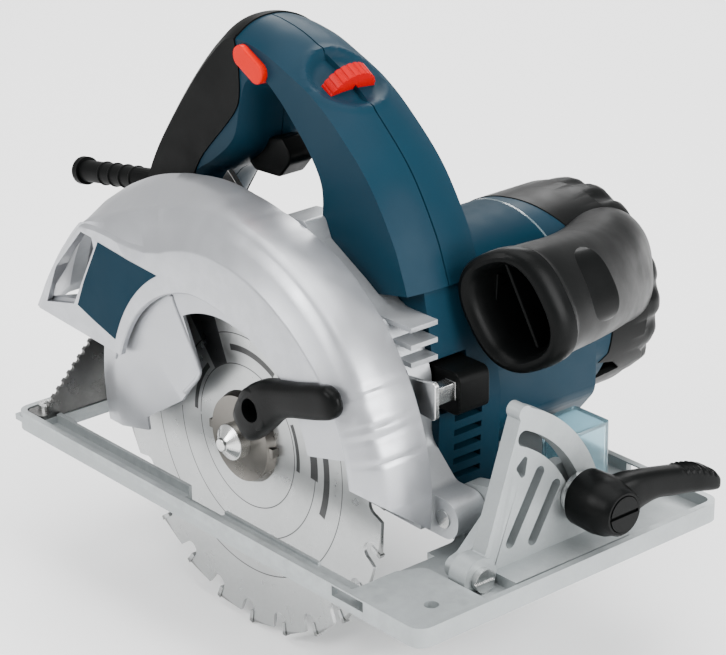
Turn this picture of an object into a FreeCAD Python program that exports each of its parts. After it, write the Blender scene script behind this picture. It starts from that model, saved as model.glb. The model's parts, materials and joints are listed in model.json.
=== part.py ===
import FreeCAD, Part
import math
import os

# Hand-held circular saw with a swinging lower guard, in millimetres.
# +X is the direction of travel, +Y points at the motor and +Z is up.  The origin lies on the
# underside of the base plate, below the arbor axis, in the middle plane of the blade.

V = FreeCAD.Vector

# ---------------------------------------------------------------------------- driving dimensions
DIMENSIONS = {
    # blade and arbor
    "blade_diameter": 190, "blade_body": 1.6, "blade_kerf": 2.6, "blade_bore": 30,
    "tooth_count": 24, "tooth_gullet": 11, "arbor_height": 30, "flange_diameter": 43,
    "flange_thickness": 4.2, "spindle_diameter": 15, "bolt_shank": 8, "bolt_head": 17,
    "bolt_tip": 6, "bolt_body_end": 11, "bolt_tip_end": 16,
    # gear train: pinion 10, idler 16, drive gear 48 teeth
    "gear_module": 1, "drive_teeth": 48, "idler_teeth": 16, "pinion_teeth": 10,
    "gear_start": 26, "gear_width": 8, "idler_pin": 6,
    # motor, on an axis parallel to the arbor
    "motor_x": 27, "motor_z": 66, "motor_shaft": 10, "housing_radius": 50, "housing_wall": 3,
    "housing_start": 37, "cap_start": 152, "cap_end": 190, "core_radius": 24, "stator_gap": 0.6,
    "stator_radius": 41, "core_start": 82, "core_length": 40, "fan_radius": 40, "fan_start": 56,
    "fan_width": 11, "fan_blades": 16, "commutator_radius": 14, "commutator_start": 132,
    "commutator_length": 14, "bearing_outer": 32, "bearing_width": 9, "small_bearing": 22,
    # guards
    "guard_radius": 106, "guard_wall": 3, "guard_crease": 93, "guard_face": 17.5,
    "guard_bevel": 9.5, "guard_rim_end": 18, "window_radius": 70, "back_wall": 2.5,
    "swing_radius": 100, "swing_face": 13, "swing_wall": 1.6, "swing_crease": 82,
    "swing_back": 12, "nose_radius": 24, "nose_start": 7, "running_gap": 0.06,
    # base plate
    "base_front": 157, "base_rear": 135, "base_right": 37, "base_left": 141, "deck": 3.6,
    "rim_height": 9, "rim_wall": 3.2, "base_corner": 7, "slot_front": 100, "slot_rear": 118,
    "slot_right": 22, "slot_left": 40, "lip_height": 8, "quadrant_start": 130,
    "quadrant_thickness": 8, "quadrant_radius": 74.5, "slot_path_radius": 61.35, "slot_width": 7,
    "bevel_y": 12, "bevel_z": 9, "bevel_pin": 6, "barrel_radius": 9, "fence_slot_width": 20,
    "fence_slot_height": 4.6, "fence_x": 112,
    # bevel frame and depth pivot
    "bevel_plate_start": 123.4, "bevel_plate_thickness": 6, "depth_pivot_x": 108,
    "depth_pivot_z": 22, "depth_pin": 8, "ear_start": 37.4, "ear_width": 8,
    "guide_radius": 177, "guide_start": 20.6, "guide_thickness": 2.8, "guide_width": 20,
    "guide_slot": 7, "clamp_bolt": 6, "clamp_angle": 19.03,
    # handle
    "handle_right": 29, "handle_split": 50, "handle_left": 71, "handle_wall": 3,
    "grip_skin": 2.2, "fit_gap": 0.06, "lock_off_height": 10,
    "dial_radius": 12.5, "dial_width": 7, "sleeve_radius": 5.5, "sleeve_length": 78,
    # front handle
    "mouth_start": 60, "mouth_x": 108, "mouth_z": 104, "mouth_width": 38, "mouth_height": 45,
    "tail_start": 172, "tail_x": 82, "tail_z": 86, "tail_size": 32, "front_handle_wall": 4,
    "lever_x": 142, "lever_y": 70, "lever_z": 29, "lever_hub": 13.5,
}

os.makedirs("parts", exist_ok=True)
doc = FreeCAD.newDocument("CircularSaw")
sheet = doc.addObject("Spreadsheet::Sheet", "Sizes")
for row, (alias, value) in enumerate(DIMENSIONS.items(), start=1):
    sheet.set("A%d" % row, alias)
    sheet.set("B%d" % row, str(value))
    sheet.setAlias("B%d" % row, alias)
doc.recompute()


class Sizes:
    """Numbers of the sheet, read by alias."""

    def __getattr__(self, alias):
        return float(getattr(sheet, alias))


size = Sizes()
ARBOR = V(0, 0, size.arbor_height)
MOTOR = V(size.motor_x, 0, size.motor_z)
BEVEL = V(0, size.bevel_y, size.bevel_z)
PIVOT = V(size.depth_pivot_x, 0, size.depth_pivot_z)

# ------------------------------------------------------------------------------- small geometry
TURN = {
    "X": FreeCAD.Rotation(V(0, 1, 0), 90),
    "Y": FreeCAD.Rotation(V(1, 0, 0), -90),
    "Z": FreeCAD.Rotation(),
}
PLANES = {"X": "YZ_Plane", "Y": "XZ_Plane", "Z": "XY_Plane"}
nodes = {}


def named(expression):
    """An expression of the sheet, with each alias given its sheet name."""
    words = sorted(DIMENSIONS, key=len, reverse=True)
    text = ""
    token = ""
    for letter in expression + " ":
        if letter.isalpha() or letter == "_":
            token += letter
            continue
        text += ("Sizes." + token if token in words else token) + letter
        token = ""
    return text.strip()


def bind(thing, **sizes):
    """Bind properties of an object to expressions of the sheet."""
    for name, expression in sizes.items():
        thing.setExpression(name.replace("__", "."), named(str(expression)))
    return thing


def place(thing, axis, x="0", y="0", z="0"):
    """Turn a primitive's own Z axis to a row axis and put its origin at x, y, z."""
    thing.Placement = FreeCAD.Placement(V(), TURN[axis])
    return bind(thing, Placement__Base__x=x, Placement__Base__y=y, Placement__Base__z=z)


def cylinder(label, axis, radius, length, x="0", y="0", z="0"):
    thing = doc.addObject("Part::Cylinder", label)
    bind(thing, Radius=radius, Height=length)
    return place(thing, axis, x, y, z)


def cone(label, axis, radius_start, radius_end, length, x="0", y="0", z="0"):
    thing = doc.addObject("Part::Cone", label)
    bind(thing, Radius1=radius_start, Radius2=radius_end, Height=length)
    return place(thing, axis, x, y, z)


def box(label, x, y, z):
    """A box from three (low, high) pairs of expressions."""
    thing = doc.addObject("Part::Box", label)
    for name, pair in (("Length", x), ("Width", y), ("Height", z)):
        bind(thing, **{name: "(%s) - (%s)" % (pair[1], pair[0])})
    return bind(thing, Placement__Base__x=x[0], Placement__Base__y=y[0], Placement__Base__z=z[0])


def fuse(label, *things):
    thing = doc.addObject("Part::MultiFuse", label)
    thing.Shapes = list(things)
    return thing


def common(label, *things):
    thing = doc.addObject("Part::MultiCommon", label)
    thing.Shapes = list(things)
    return thing


def cut(label, base, *tools):
    thing = doc.addObject("Part::Cut", label)
    thing.Base = base
    thing.Tool = tools[0] if len(tools) == 1 else fuse(label + "_tools", *tools)
    return thing


def node(name, thing):
    """Keep an object as a sub-part under its own name."""
    thing.Label = name
    nodes[name] = thing
    return thing


def feature(label, shape):
    thing = doc.addObject("Part::Feature", label)
    thing.Shape = shape
    return thing


def corner(points, radii):
    """Edges of a closed outline in the plane, with each corner rounded by its radius."""
    edges = []
    count = len(points)
    ends = []
    for index, (point, radius) in enumerate(zip(points, radii)):
        before = V(*points[index - 1], 0) - V(*point, 0)
        after = V(*points[(index + 1) % count], 0) - V(*point, 0)
        if radius == 0:
            ends.append((V(*point, 0), None, V(*point, 0)))
            continue
        half = before.getAngle(after) / 2
        reach = radius / math.tan(half)
        middle = (before.normalize() + after.normalize()).normalize()
        centre = V(*point, 0) + middle * (radius / math.sin(half))
        ends.append((V(*point, 0) + before * reach, centre - middle * radius,
                     V(*point, 0) + after * reach))
    for index, (start, top, finish) in enumerate(ends):
        if top is not None:
            edges.append(Part.Arc(start, top, finish))
        following = ends[(index + 1) % count][0]
        if finish.distanceToPoint(following) > 1e-6:
            edges.append(Part.LineSegment(finish, following))
    return edges


def polygon(points, radius=0):
    return corner(points, [radius] * len(points))


def ring(centre, radius):
    return [Part.Circle(V(*centre, 0), V(0, 0, 1), radius)]


def outline(label, axis, start, length, *loops):
    """A body whose closed loops, drawn across an axis, are padded from start over length.

    Loops across Y are drawn in X and Z, across X in Y and Z, and across Z in X and Y.
    """
    body = doc.addObject("PartDesign::Body", label)
    sketch = body.newObject("Sketcher::SketchObject", label + "_sketch")
    planes = [plane for plane in body.Origin.OriginFeatures if plane.Role == PLANES[axis]]
    sketch.AttachmentSupport = [(planes[0], "")]
    sketch.MapMode = "FlatFace"
    offset = "-(%s) - (%s)" % (start, length) if axis == "Y" else start
    bind(sketch, AttachmentOffset__Base__z=offset)
    for loop in loops:
        for edge in loop:
            sketch.addGeometry(edge, False)
    pad = body.newObject("PartDesign::Pad", label + "_pad")
    pad.Profile = sketch
    bind(pad, Length=length)
    body.Tip = pad
    return body


def polar(centre, radius, degrees):
    angle = math.radians(degrees)
    return (centre[0] + radius * math.cos(angle), centre[1] + radius * math.sin(angle))


def sector(centre, inner, outer, start, finish):
    """A ring sector as an outline, angles in degrees."""
    middle = (start + finish) / 2
    flat = [V(*polar(centre, radius, angle), 0)
            for radius, angle in ((outer, start), (outer, middle), (outer, finish),
                                  (inner, finish), (inner, middle), (inner, start))]
    return [Part.Arc(flat[0], flat[1], flat[2]), Part.LineSegment(flat[2], flat[3]),
            Part.Arc(flat[3], flat[4], flat[5]), Part.LineSegment(flat[5], flat[0])]


def slot(centre, radius, width, start, finish):
    """A curved slot with round ends, on a circle about a centre."""
    half = width / 2
    middle = (start + finish) / 2
    over = math.degrees(half / radius)
    spots = [V(*polar(centre, radius + side, angle), 0)
             for side, angle in ((half, start), (half, middle), (half, finish), (0, finish + over),
                                 (-half, finish), (-half, middle), (-half, start),
                                 (0, start - over))]
    return [Part.Arc(spots[0], spots[1], spots[2]), Part.Arc(spots[2], spots[3], spots[4]),
            Part.Arc(spots[4], spots[5], spots[6]), Part.Arc(spots[6], spots[7], spots[0])]


def straight_slot(start, finish, width):
    """A straight slot with round ends between two centres."""
    along = V(*finish, 0) - V(*start, 0)
    along.normalize()
    side = V(-along.y, along.x, 0) * (width / 2)
    cap = along * (width / 2)
    first, second = V(*start, 0), V(*finish, 0)
    return [Part.LineSegment(first + side, second + side),
            Part.Arc(second + side, second + cap, second - side),
            Part.LineSegment(second - side, first - side),
            Part.Arc(first - side, first - cap, first + side)]


def gear_loop(centre, teeth, turn):
    """Outline of a spur gear: trapezium teeth with a little backlash, turned by degrees."""
    module = size.gear_module
    pitch = 360.0 / teeth
    profile = ((-1.25, 0.29), (0.0, 0.235), (0.85, 0.12))
    points = []
    for tooth in range(teeth):
        centre_angle = turn + tooth * pitch
        for rise, half in profile:
            radius = module * (teeth / 2 + rise)
            points.append(polar(centre, radius, centre_angle - half * pitch))
        for rise, half in reversed(profile):
            radius = module * (teeth / 2 + rise)
            points.append(polar(centre, radius, centre_angle + half * pitch))
    return polygon(points)


# ----------------------------------------------------------------------------------- base plate
def base_plate():
    """Cast plate with a raised rim, the blade opening and the bevel quadrant in one piece."""
    front, rear = size.base_front, -size.base_rear
    right, left = -size.base_right, size.base_left
    edge = [(rear, right), (front, right), (front, left), (rear, left)]
    plate = outline("plate_deck", "Z", "0", "deck", polygon(edge, size.base_corner))
    inset = size.rim_wall
    inner = [(rear + inset, right + inset), (front - inset, right + inset),
             (front - inset, left - inset), (rear + inset, left - inset)]
    rim = outline("plate_rim", "Z", "deck", "rim_height - deck",
                  polygon(edge, size.base_corner), polygon(inner, size.base_corner - inset))
    lip = box("plate_lip", ("-slot_rear", "slot_front"), ("-slot_right - 2.6", "-slot_right"),
              ("deck", "lip_height"))
    inner_lip = box("plate_inner_lip", ("-slot_rear", "slot_front"),
                    ("slot_left", "slot_left + 2.6"), ("deck", "rim_height - 1"))
    nose = outline("plate_nose", "Z", "deck", "rim_height - deck",
                   corner([(111.5, right), (front, right), (front, 2), (117, 2), (111.5, -10)],
                          [0, size.base_corner, 0, 6, 4]))
    tail = box("plate_tail", ("-base_rear", "-slot_rear"), ("-base_right", "slot_left + 2.6"),
               ("deck", "rim_height - 2.5"))
    ribs = []
    for index, along in enumerate((-80, -25, 30, 85)):
        ribs.append(box("plate_rib_%d" % index, (str(along), str(along + 2.4)),
                        ("slot_left + 2.6", "base_left - rim_wall"), ("deck", "rim_height - 3")))
    for index, across in enumerate((75, 108)):
        ribs.append(box("plate_long_rib_%d" % index, ("-base_rear + rim_wall", "104"),
                        (str(across), str(across + 2.4)), ("deck", "rim_height - 3")))
    opening = outline("plate_opening", "Z", "-1", "lip_height + 4",
                      corner([(-size.slot_rear, -size.slot_right),
                              (size.slot_front, -size.slot_right),
                              (size.slot_front, size.slot_left),
                              (-size.slot_rear, size.slot_left)], [6, 10, 10, 6]))
    bolt_relief = box("plate_bolt_relief", ("-13", "13"), ("-slot_right - 5", "-slot_right + 1"),
                      ("1", "lip_height + 1"))
    lip_step = box("plate_lip_step", ("12", "slot_front - 4"), ("-slot_right - 3",
                   "-slot_right + 1"), ("lip_height - 3", "lip_height + 1"))
    tip_relief = box("plate_tip_relief", ("78", "slot_front + 2"), ("-slot_right - 5",
                     "-slot_right + 1"), ("deck", "rim_height + 1"))
    fence = box("plate_fence_slot", ("fence_x - fence_slot_width / 2",
                "fence_x + fence_slot_width / 2"), ("-base_right - 1", "base_left + 1"),
                ("deck", "deck + fence_slot_height"))
    rear_relief = box("plate_rear_relief", ("-slot_rear - 5", "-slot_rear + 1"),
                      ("bevel_y - 6", "bevel_y + 6"), ("deck", "lip_height"))
    corner_hole = cylinder("plate_corner_hole", "Z", "3.2", "lip_height + 3", "143", "-18", "-1")
    guard_relief = cylinder("plate_guard_relief", "Y", "guard_radius + 2", "slot_right + 19",
                            "0", "-slot_right - 1", "arbor_height")
    blocks = cut("plate_blocks", fuse("plate_solid", plate, rim, lip, inner_lip, nose, tail, *ribs),
                 opening, bolt_relief, lip_step, tip_relief, fence, rear_relief, corner_hole,
                 guard_relief)
    node("base_plate", fuse("base_plate", blocks, quadrant()))


def quadrant():
    """Upright bevel quadrant with its arc slot, lightening slots and pivot barrel."""
    pivot = (size.bevel_y, size.bevel_z)
    outer = size.quadrant_radius
    low = polar(pivot, outer, 2)
    arc_low = polar(pivot, outer, 8)
    arc_middle = polar(pivot, outer, 38)
    arc_high = polar(pivot, outer, 66)
    loop = [Part.LineSegment(V(4, size.deck, 0), V(low[0], size.deck, 0)),
            Part.LineSegment(V(low[0], size.deck, 0), V(*arc_low, 0)),
            Part.Arc(V(*arc_low, 0), V(*arc_middle, 0), V(*arc_high, 0)),
            Part.Arc(V(*arc_high, 0), V(38.5, 78.8, 0), V(36.2, 73, 0)),
            Part.LineSegment(V(36.2, 73, 0), V(16.5, 17.5, 0)),
            Part.LineSegment(V(16.5, 17.5, 0), V(4, size.bevel_z, 0)),
            Part.LineSegment(V(4, size.bevel_z, 0), V(4, size.deck, 0))]
    plate = outline("quadrant_plate", "X", "quadrant_start", "quadrant_thickness", loop)
    barrel = cylinder("quadrant_barrel", "X", "barrel_radius", "quadrant_thickness + 2",
                      "quadrant_start", "bevel_y", "bevel_z")
    foot = box("quadrant_foot", ("quadrant_start", "quadrant_start + 22"), ("21", "88"),
               ("deck", "rim_height - 0.5"))
    arc = outline("quadrant_arc_slot", "X", "quadrant_start - 1", "quadrant_thickness + 2",
                  slot(pivot, size.slot_path_radius, size.slot_width, size.clamp_angle - 0.5,
                       size.clamp_angle + 45.5))
    windows = [straight_slot((47.5, 46), (31, 18.5), 5.4), straight_slot((57, 37), (44, 15.5), 5.4)]
    light = outline("quadrant_windows", "X", "quadrant_start - 1", "quadrant_thickness + 2",
                    *windows)
    window = outline("quadrant_triangle", "X", "quadrant_start - 1", "quadrant_thickness + 2",
                     corner([(33.5, 52), (38.5, 44), (41, 58)], [1.5, 1.5, 1.5]))
    bore = cylinder("quadrant_bore", "X", "bevel_pin / 2", "quadrant_thickness + 6", "quadrant_start - 2",
                    "bevel_y", "bevel_z")
    return cut("quadrant", fuse("quadrant_solid", plate, barrel, foot), arc, light, window, bore)


def rear_bracket():
    """Stamped steel bracket across the rear end: a foot flange and an upright toothed wing."""
    foot = outline("bracket_foot", "Z", "rim_height - 2.5", "2",
                   polygon([(-131.4, -33), (-119, -33), (-119, 34), (-131.4, 34)], 3))
    wing = outline("bracket_wing", "X", "-121", "2",
                   corner([(-28, size.rim_height - 2), (32, size.rim_height - 2), (32, 30),
                           (20, 44), (2, 44), (-28, 14)], [0, 0, 5, 5, 6, 3]))
    lug_hole = cylinder("bracket_pivot_hole", "X", "bevel_pin / 2", "6", "-123", "bevel_y", "bevel_z")
    pin_relief = box("bracket_pin_relief", ("-slot_rear - 5", "-slot_rear - 3"),
                     ("bevel_y - 6", "bevel_y + 6"), ("bevel_z - 5", "bevel_z"))
    screw_holes = [cylinder("bracket_screw_hole_%d" % index, "Z", "2.6", "8", "-126", str(across),
                            "2") for index, across in enumerate((-24, 26))]
    teeth = []
    for step in range(9):
        teeth.append(cylinder("bracket_notch_%d" % step, "X", "1.3", "6", "-123",
                              str(-26.5 + 3.2 * step), str(15.5 + 3.2 * step)))
    node("rear_bracket", cut("rear_bracket", fuse("bracket_solid", foot, wing), lug_hole,
                             pin_relief, *screw_holes, *teeth))
    screws = []
    for index, across in enumerate((-24, 26)):
        head = cylinder("bracket_screw_head_%d" % index, "Z", "4.6", "2.6", "-126", str(across),
                        "rim_height - 0.5")
        socket = cylinder("bracket_screw_socket_%d" % index, "Z", "2", "1.6", "-126", str(across),
                          "rim_height + 0.9")
        screws.append(cut("bracket_screw_%d" % index, head, socket))
    node("bracket_screws", doc_compound("bracket_screws", screws))


def doc_compound(label, things):
    thing = doc.addObject("Part::Compound", label)
    thing.Links = list(things)
    return thing


def sight_cover():
    """Clear box on the deck beside the quadrant."""
    outer = outline("cover_outer", "Z", "rim_height - 3", "27.6",
                    polygon([(80, 104), (103, 104), (103, 126), (80, 126)], 2.5))
    inner = outline("cover_inner", "Z", "rim_height - 4", "26.6",
                    polygon([(82, 106), (101, 106), (101, 124), (82, 124)], 1.2))
    node("clear_cover", cut("clear_cover", outer, inner))


def bevel_pivot_bolt():
    """Front bevel pin with a slotted head, fixed in the quadrant's barrel."""
    shank = cylinder("bevel_bolt_shank", "X", "bevel_pin / 2", "quadrant_thickness + 8.4",
                     "quadrant_start - 6.4", "bevel_y", "bevel_z")
    head = cylinder("bevel_bolt_head", "X", "5.3", "3.4", "quadrant_start + quadrant_thickness + 2",
                    "bevel_y", "bevel_z")
    groove = box("bevel_bolt_groove", ("quadrant_start + quadrant_thickness + 4.2",
                 "quadrant_start + quadrant_thickness + 6"), ("bevel_y - 7", "bevel_y + 7"),
                 ("bevel_z - 0.7", "bevel_z + 0.7"))
    node("bevel_pivot_bolt", cut("bevel_pivot_bolt", fuse("bevel_bolt", shank, head), groove))


# ---------------------------------------------------------------------------------- bevel frame
def bevel_frame():
    """Tilting bracket behind the quadrant, with the ear that carries the depth pivot."""
    plate = outline("frame_plate", "X", "bevel_plate_start", "bevel_plate_thickness",
                    corner([(7, 4), (16, 4), (34, 8), (72, 16), (82, 30), (72, 41), (40, 38),
                            (14, 14.8), (7, 13)], [4.9, 6, 0, 8, 8, 8, 10, 3, 4]))
    ear = outline("frame_ear", "Y", "ear_start", "ear_width",
                  corner([(size.depth_pivot_x - 9, size.depth_pivot_z - 9),
                          (size.bevel_plate_start + 1, size.depth_pivot_z - 9),
                          (size.bevel_plate_start + 1, size.depth_pivot_z + 14),
                          (size.depth_pivot_x - 9, size.depth_pivot_z + 9)], [8, 0, 0, 8]))
    pin_hole = cylinder("frame_pin_hole", "Y", "depth_pin / 2", "ear_width + 2", "depth_pivot_x",
                        "ear_start - 1", "depth_pivot_z")
    bevel_hole = cylinder("frame_bevel_hole", "X", "bevel_pin / 2 + running_gap", "bevel_plate_thickness + 4",
                          "bevel_plate_start - 2", "bevel_y", "bevel_z")
    clamp_hole = cylinder("frame_clamp_hole", "X", "clamp_bolt / 2", "bevel_plate_thickness + 4",
                          "bevel_plate_start - 2", "lever_y", "lever_z")
    node("bevel_frame", cut("bevel_frame", fuse("frame_solid", plate, ear), pin_hole, bevel_hole,
                            clamp_hole))
    pin = cylinder("depth_pin_shank", "Y", "depth_pin / 2", "28", "depth_pivot_x", "19.5",
                   "depth_pivot_z")
    head = cylinder("depth_pin_head", "Y", "6.5", "2.4", "depth_pivot_x", "47.5", "depth_pivot_z")
    node("depth_pivot_pin", fuse("depth_pivot_pin", pin, head))
    bolt = cylinder("clamp_bolt_shank", "X", "clamp_bolt / 2", "42.4", "119.4", "lever_y", "lever_z")
    bolt_head = cylinder("clamp_bolt_head", "X", "6", "4", "119.4", "lever_y", "lever_z")
    node("bevel_clamp_bolt", fuse("bevel_clamp_bolt", bolt, bolt_head))
    washer = cylinder("washer_disc", "X", "10", "2.2", "quadrant_start + quadrant_thickness + 0.4",
                      "lever_y", "lever_z")
    washer_hole = cylinder("washer_hole", "X", "clamp_bolt / 2", "6", "quadrant_start + 6",
                           "lever_y", "lever_z")
    node("bevel_washer", cut("bevel_washer", washer, washer_hole))


def depth_guide():
    """Slotted arc about the depth pivot, standing behind the guard, with its rear bevel lug."""
    pivot = (size.depth_pivot_x, size.depth_pivot_z)
    half = size.guide_width / 2
    arc = outline("guide_arc", "Y", "guide_start", "guide_thickness",
                  sector(pivot, size.guide_radius - half, size.guide_radius + half, 140.2, 177.5),
                  slot(pivot, size.guide_radius, size.guide_slot, 143.8, 174.6))
    arm = outline("guide_arm", "Y", "guide_start", "guide_thickness",
                  polygon([(-117.6, 12.5), (-66, 22.5), (-66, 33), (-117.6, 23)]))
    lug = outline("guide_lug", "X", "-117.7", "2.4",
                  corner([(7, 4), (16, 4), (23.4, 9), (23.4, 24), (7, 13.5)], [4.9, 3, 0, 0, 4]))
    hole = cylinder("guide_lug_hole", "X", "bevel_pin / 2 + running_gap", "6", "-120", "bevel_y", "bevel_z")
    node("depth_guide", cut("depth_guide", fuse("guide_solid", arc, arm, lug), hole))


def rear_pivot_pin():
    """Rear bevel pin, riveted in the rear bracket and turning in the depth guide's lug."""
    shank = cylinder("rear_pin_shank", "X", "bevel_pin / 2", "9.4", "-122.4", "bevel_y", "bevel_z")
    head = cylinder("rear_pin_head", "X", "4.6", "2", "-115.2", "bevel_y", "bevel_z")
    node("rear_pivot_pin", fuse("rear_pivot_pin", shank, head))


# --------------------------------------------------------------------------- arbor and the blade
def blade():
    """Toothed disc: each tooth is a hooked notch in the rim, tipped with a wider carbide block."""
    radius = size.blade_diameter / 2
    gullet = size.tooth_gullet
    pitch = 360.0 / size.tooth_count
    loop = []
    for tooth in range(int(size.tooth_count)):
        turn = tooth * pitch
        tip = V(*polar((0, size.arbor_height), radius - 0.6, turn), 0)
        face = V(*polar((0, size.arbor_height), radius - gullet + 3, turn + 0.9), 0)
        root = V(*polar((0, size.arbor_height), radius - gullet, turn - 2.0), 0)
        rise = V(*polar((0, size.arbor_height), radius - gullet + 4, turn - 4.6), 0)
        back = V(*polar((0, size.arbor_height), radius - 2.6, turn - 5.6), 0)
        following = V(*polar((0, size.arbor_height), radius - 0.6, turn - pitch), 0)
        loop += [Part.LineSegment(tip, face), Part.Arc(face, root, rise),
                 Part.LineSegment(rise, back), Part.LineSegment(back, following)]
    disc = outline("blade_disc", "Y", "-blade_body / 2", "blade_body", loop,
                   ring((0, size.arbor_height), size.blade_bore / 2))
    tips = []
    for tooth in range(int(size.tooth_count)):
        turn = tooth * pitch
        spots = [polar((0, size.arbor_height), radius, turn),
                 polar((0, size.arbor_height), radius - 6.4, turn + 0.7),
                 polar((0, size.arbor_height), radius - 6.4, turn - 0.6),
                 polar((0, size.arbor_height), radius - 0.5, turn - 1.2)]
        tips.append(polygon(spots))
    carbide = outline("blade_tips", "Y", "-blade_kerf / 2", "blade_kerf", *tips)
    node("saw_blade", fuse("saw_blade", disc, carbide))


def arbor():
    """Spindle with its flanges, clamping bolt and drive gear."""
    shank = cylinder("spindle_shank", "Y", "spindle_diameter / 2", "46", "0", "-blade_body / 2",
                     "arbor_height")
    thread = cylinder("spindle_thread", "Y", "bolt_shank / 2", "18", "0", "-blade_body / 2 - 1",
                      "arbor_height")
    node("spindle", cut("spindle", shank, thread))
    disc = cylinder("inner_disc", "Y", "flange_diameter / 2", "4.7", "0", "blade_body / 2",
                    "arbor_height")
    pilot = cylinder("inner_pilot", "Y", "blade_bore / 2", "blade_body", "0", "-blade_body / 2",
                     "arbor_height")
    bore = cylinder("inner_bore", "Y", "spindle_diameter / 2", "12", "0", "-2", "arbor_height")
    node("inner_flange", cut("inner_flange", fuse("inner_solid", disc, pilot), bore))
    outer = cone("outer_disc", "Y", "flange_diameter / 2 - 1.5", "flange_diameter / 2",
                 "flange_thickness", "0", "-blade_body / 2 - flange_thickness", "arbor_height")
    outer_bore = cylinder("outer_bore", "Y", "bolt_shank / 2", "12", "0", "-9", "arbor_height")
    dogs = [box("outer_dog_%d" % index, (str(low), str(low + 3)), ("-4.4", "-blade_body / 2"),
                ("arbor_height - 2", "arbor_height + 2")) for index, low in enumerate((-23, 20))]
    node("outer_flange", cut("outer_flange", fuse("outer_solid", outer, *dogs), outer_bore))
    head_base = "-blade_body / 2 - flange_thickness"
    body = cylinder("bolt_body", "Y", "bolt_head / 2", "bolt_body_end - blade_body / 2"
                    " - flange_thickness", "0", "-bolt_body_end", "arbor_height")
    tip = cone("bolt_cone", "Y", "bolt_tip / 2", "bolt_head / 2",
               "bolt_tip_end - bolt_body_end - 1.5", "0", "-bolt_tip_end + 1.5", "arbor_height")
    nub = cylinder("bolt_nub", "Y", "bolt_tip / 2", "1.5", "0", "-bolt_tip_end", "arbor_height")
    shaft = cylinder("bolt_shaft", "Y", "bolt_shank / 2", "20", "0", head_base, "arbor_height")
    node("blade_bolt", fuse("blade_bolt", body, tip, nub, shaft))
    centre = (0, size.arbor_height)
    teeth = outline("drive_gear_teeth", "Y", "gear_start", "gear_width",
                    gear_loop(centre, int(size.drive_teeth), line_of_centres()),
                    ring(centre, size.spindle_diameter / 2))
    node("drive_gear", teeth)


def line_of_centres():
    """Direction from the arbor to the motor, in degrees, on which all three gears lie."""
    return math.degrees(math.atan2(size.motor_z - size.arbor_height, size.motor_x))


def idler():
    """Idler gear between the drive gear and the motor pinion, on a fixed pin."""
    reach = size.gear_module * (size.drive_teeth + size.idler_teeth) / 2
    centre = polar((0, size.arbor_height), reach, line_of_centres())
    half_pitch = 180.0 / size.idler_teeth
    turn = line_of_centres() + 180 + half_pitch
    node("idler_gear", outline("idler_teeth_body", "Y", "gear_start", "gear_width",
                               gear_loop(centre, int(size.idler_teeth), turn),
                               ring(centre, size.idler_pin / 2 + size.running_gap)))
    node("idler_pin", cylinder("idler_pin_rod", "Y", "idler_pin / 2", "13", str(centre[0]),
                               "22.5", str(centre[1])))


def armature():
    """Motor shaft with its pinion, laminated core, commutator and fan."""
    centre = (size.motor_x, size.motor_z)
    turn = line_of_centres() + 180
    pinion = outline("pinion_body", "Y", "gear_start", "gear_width",
                     gear_loop(centre, int(size.pinion_teeth), turn))
    thin = cylinder("shaft_front", "Y", "3.6", "20", "motor_x", "gear_start - 1.5", "motor_z")
    rod = cylinder("shaft_rod", "Y", "motor_shaft / 2", "134.4", "motor_x", "42", "motor_z")
    node("motor_shaft", fuse("motor_shaft", pinion, thin, rod))
    bore = ring(centre, size.motor_shaft / 2)
    slots = 12
    loop = []
    for index in range(slots):
        turn = index * 360.0 / slots
        spots = [V(*polar(centre, radius, turn + degrees), 0) for radius, degrees in
                 ((size.core_radius, 3), (size.core_radius, 15), (size.core_radius, 27),
                  (size.core_radius - 6, 26), (size.core_radius - 6, 34),
                  (size.core_radius, 33))]
        loop += [Part.Arc(spots[0], spots[1], spots[2]), Part.LineSegment(spots[2], spots[3]),
                 Part.LineSegment(spots[3], spots[4]), Part.LineSegment(spots[4], spots[5])]
    node("armature_core", outline("core_body", "Y", "core_start", "core_length", loop, bore))
    node("commutator", outline("commutator_body", "Y", "commutator_start", "commutator_length",
                               ring(centre, size.commutator_radius), bore))
    hub = outline("fan_disc", "Y", "fan_start", "2", ring(centre, size.fan_radius), bore)
    blades = []
    for index in range(int(size.fan_blades)):
        turn = index * 360.0 / size.fan_blades
        blades.append(polygon([polar(centre, 14, turn - 3), polar(centre, 14, turn + 3),
                               polar(centre, size.fan_radius - 1, turn + 13),
                               polar(centre, size.fan_radius - 1, turn + 11)]))
    vanes = outline("fan_vanes", "Y", "fan_start + 2", "fan_width - 2", *blades)
    collar = outline("fan_collar", "Y", "fan_start + 2", "5", ring(centre, 9), bore)
    node("cooling_fan", fuse("cooling_fan", hub, vanes, collar))


def race(name, radius_in, radius_out, start, width, x, z):
    """A sealed ball bearing as one ring with shallow seal grooves."""
    body = cylinder(name + "_ring", "Y", radius_out, width, x, start, z)
    hole = cylinder(name + "_hole", "Y", radius_in, "%s + 2" % width, x, "%s - 1" % start, z)
    return node(name, cut(name, body, hole))


# ------------------------------------------------------------------------------------ saw casting
def guard_shell(label, shrink):
    """Solid of the upper guard's outside, or of its inside when shrunk by the wall."""
    wall = "guard_wall * %g" % shrink
    drum = cylinder(label + "_drum", "Y", "guard_radius - " + wall,
                    "guard_face - guard_bevel + guard_rim_end - back_wall * %g" % shrink, "0",
                    "-guard_face + guard_bevel", "arbor_height")
    bevel = cone(label + "_bevel", "Y", "guard_crease - " + wall, "guard_radius - " + wall,
                 "guard_bevel - 2.5 * %g" % shrink, "0", "-guard_face + 2.5 * %g" % shrink,
                 "arbor_height")
    return drum, bevel


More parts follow.
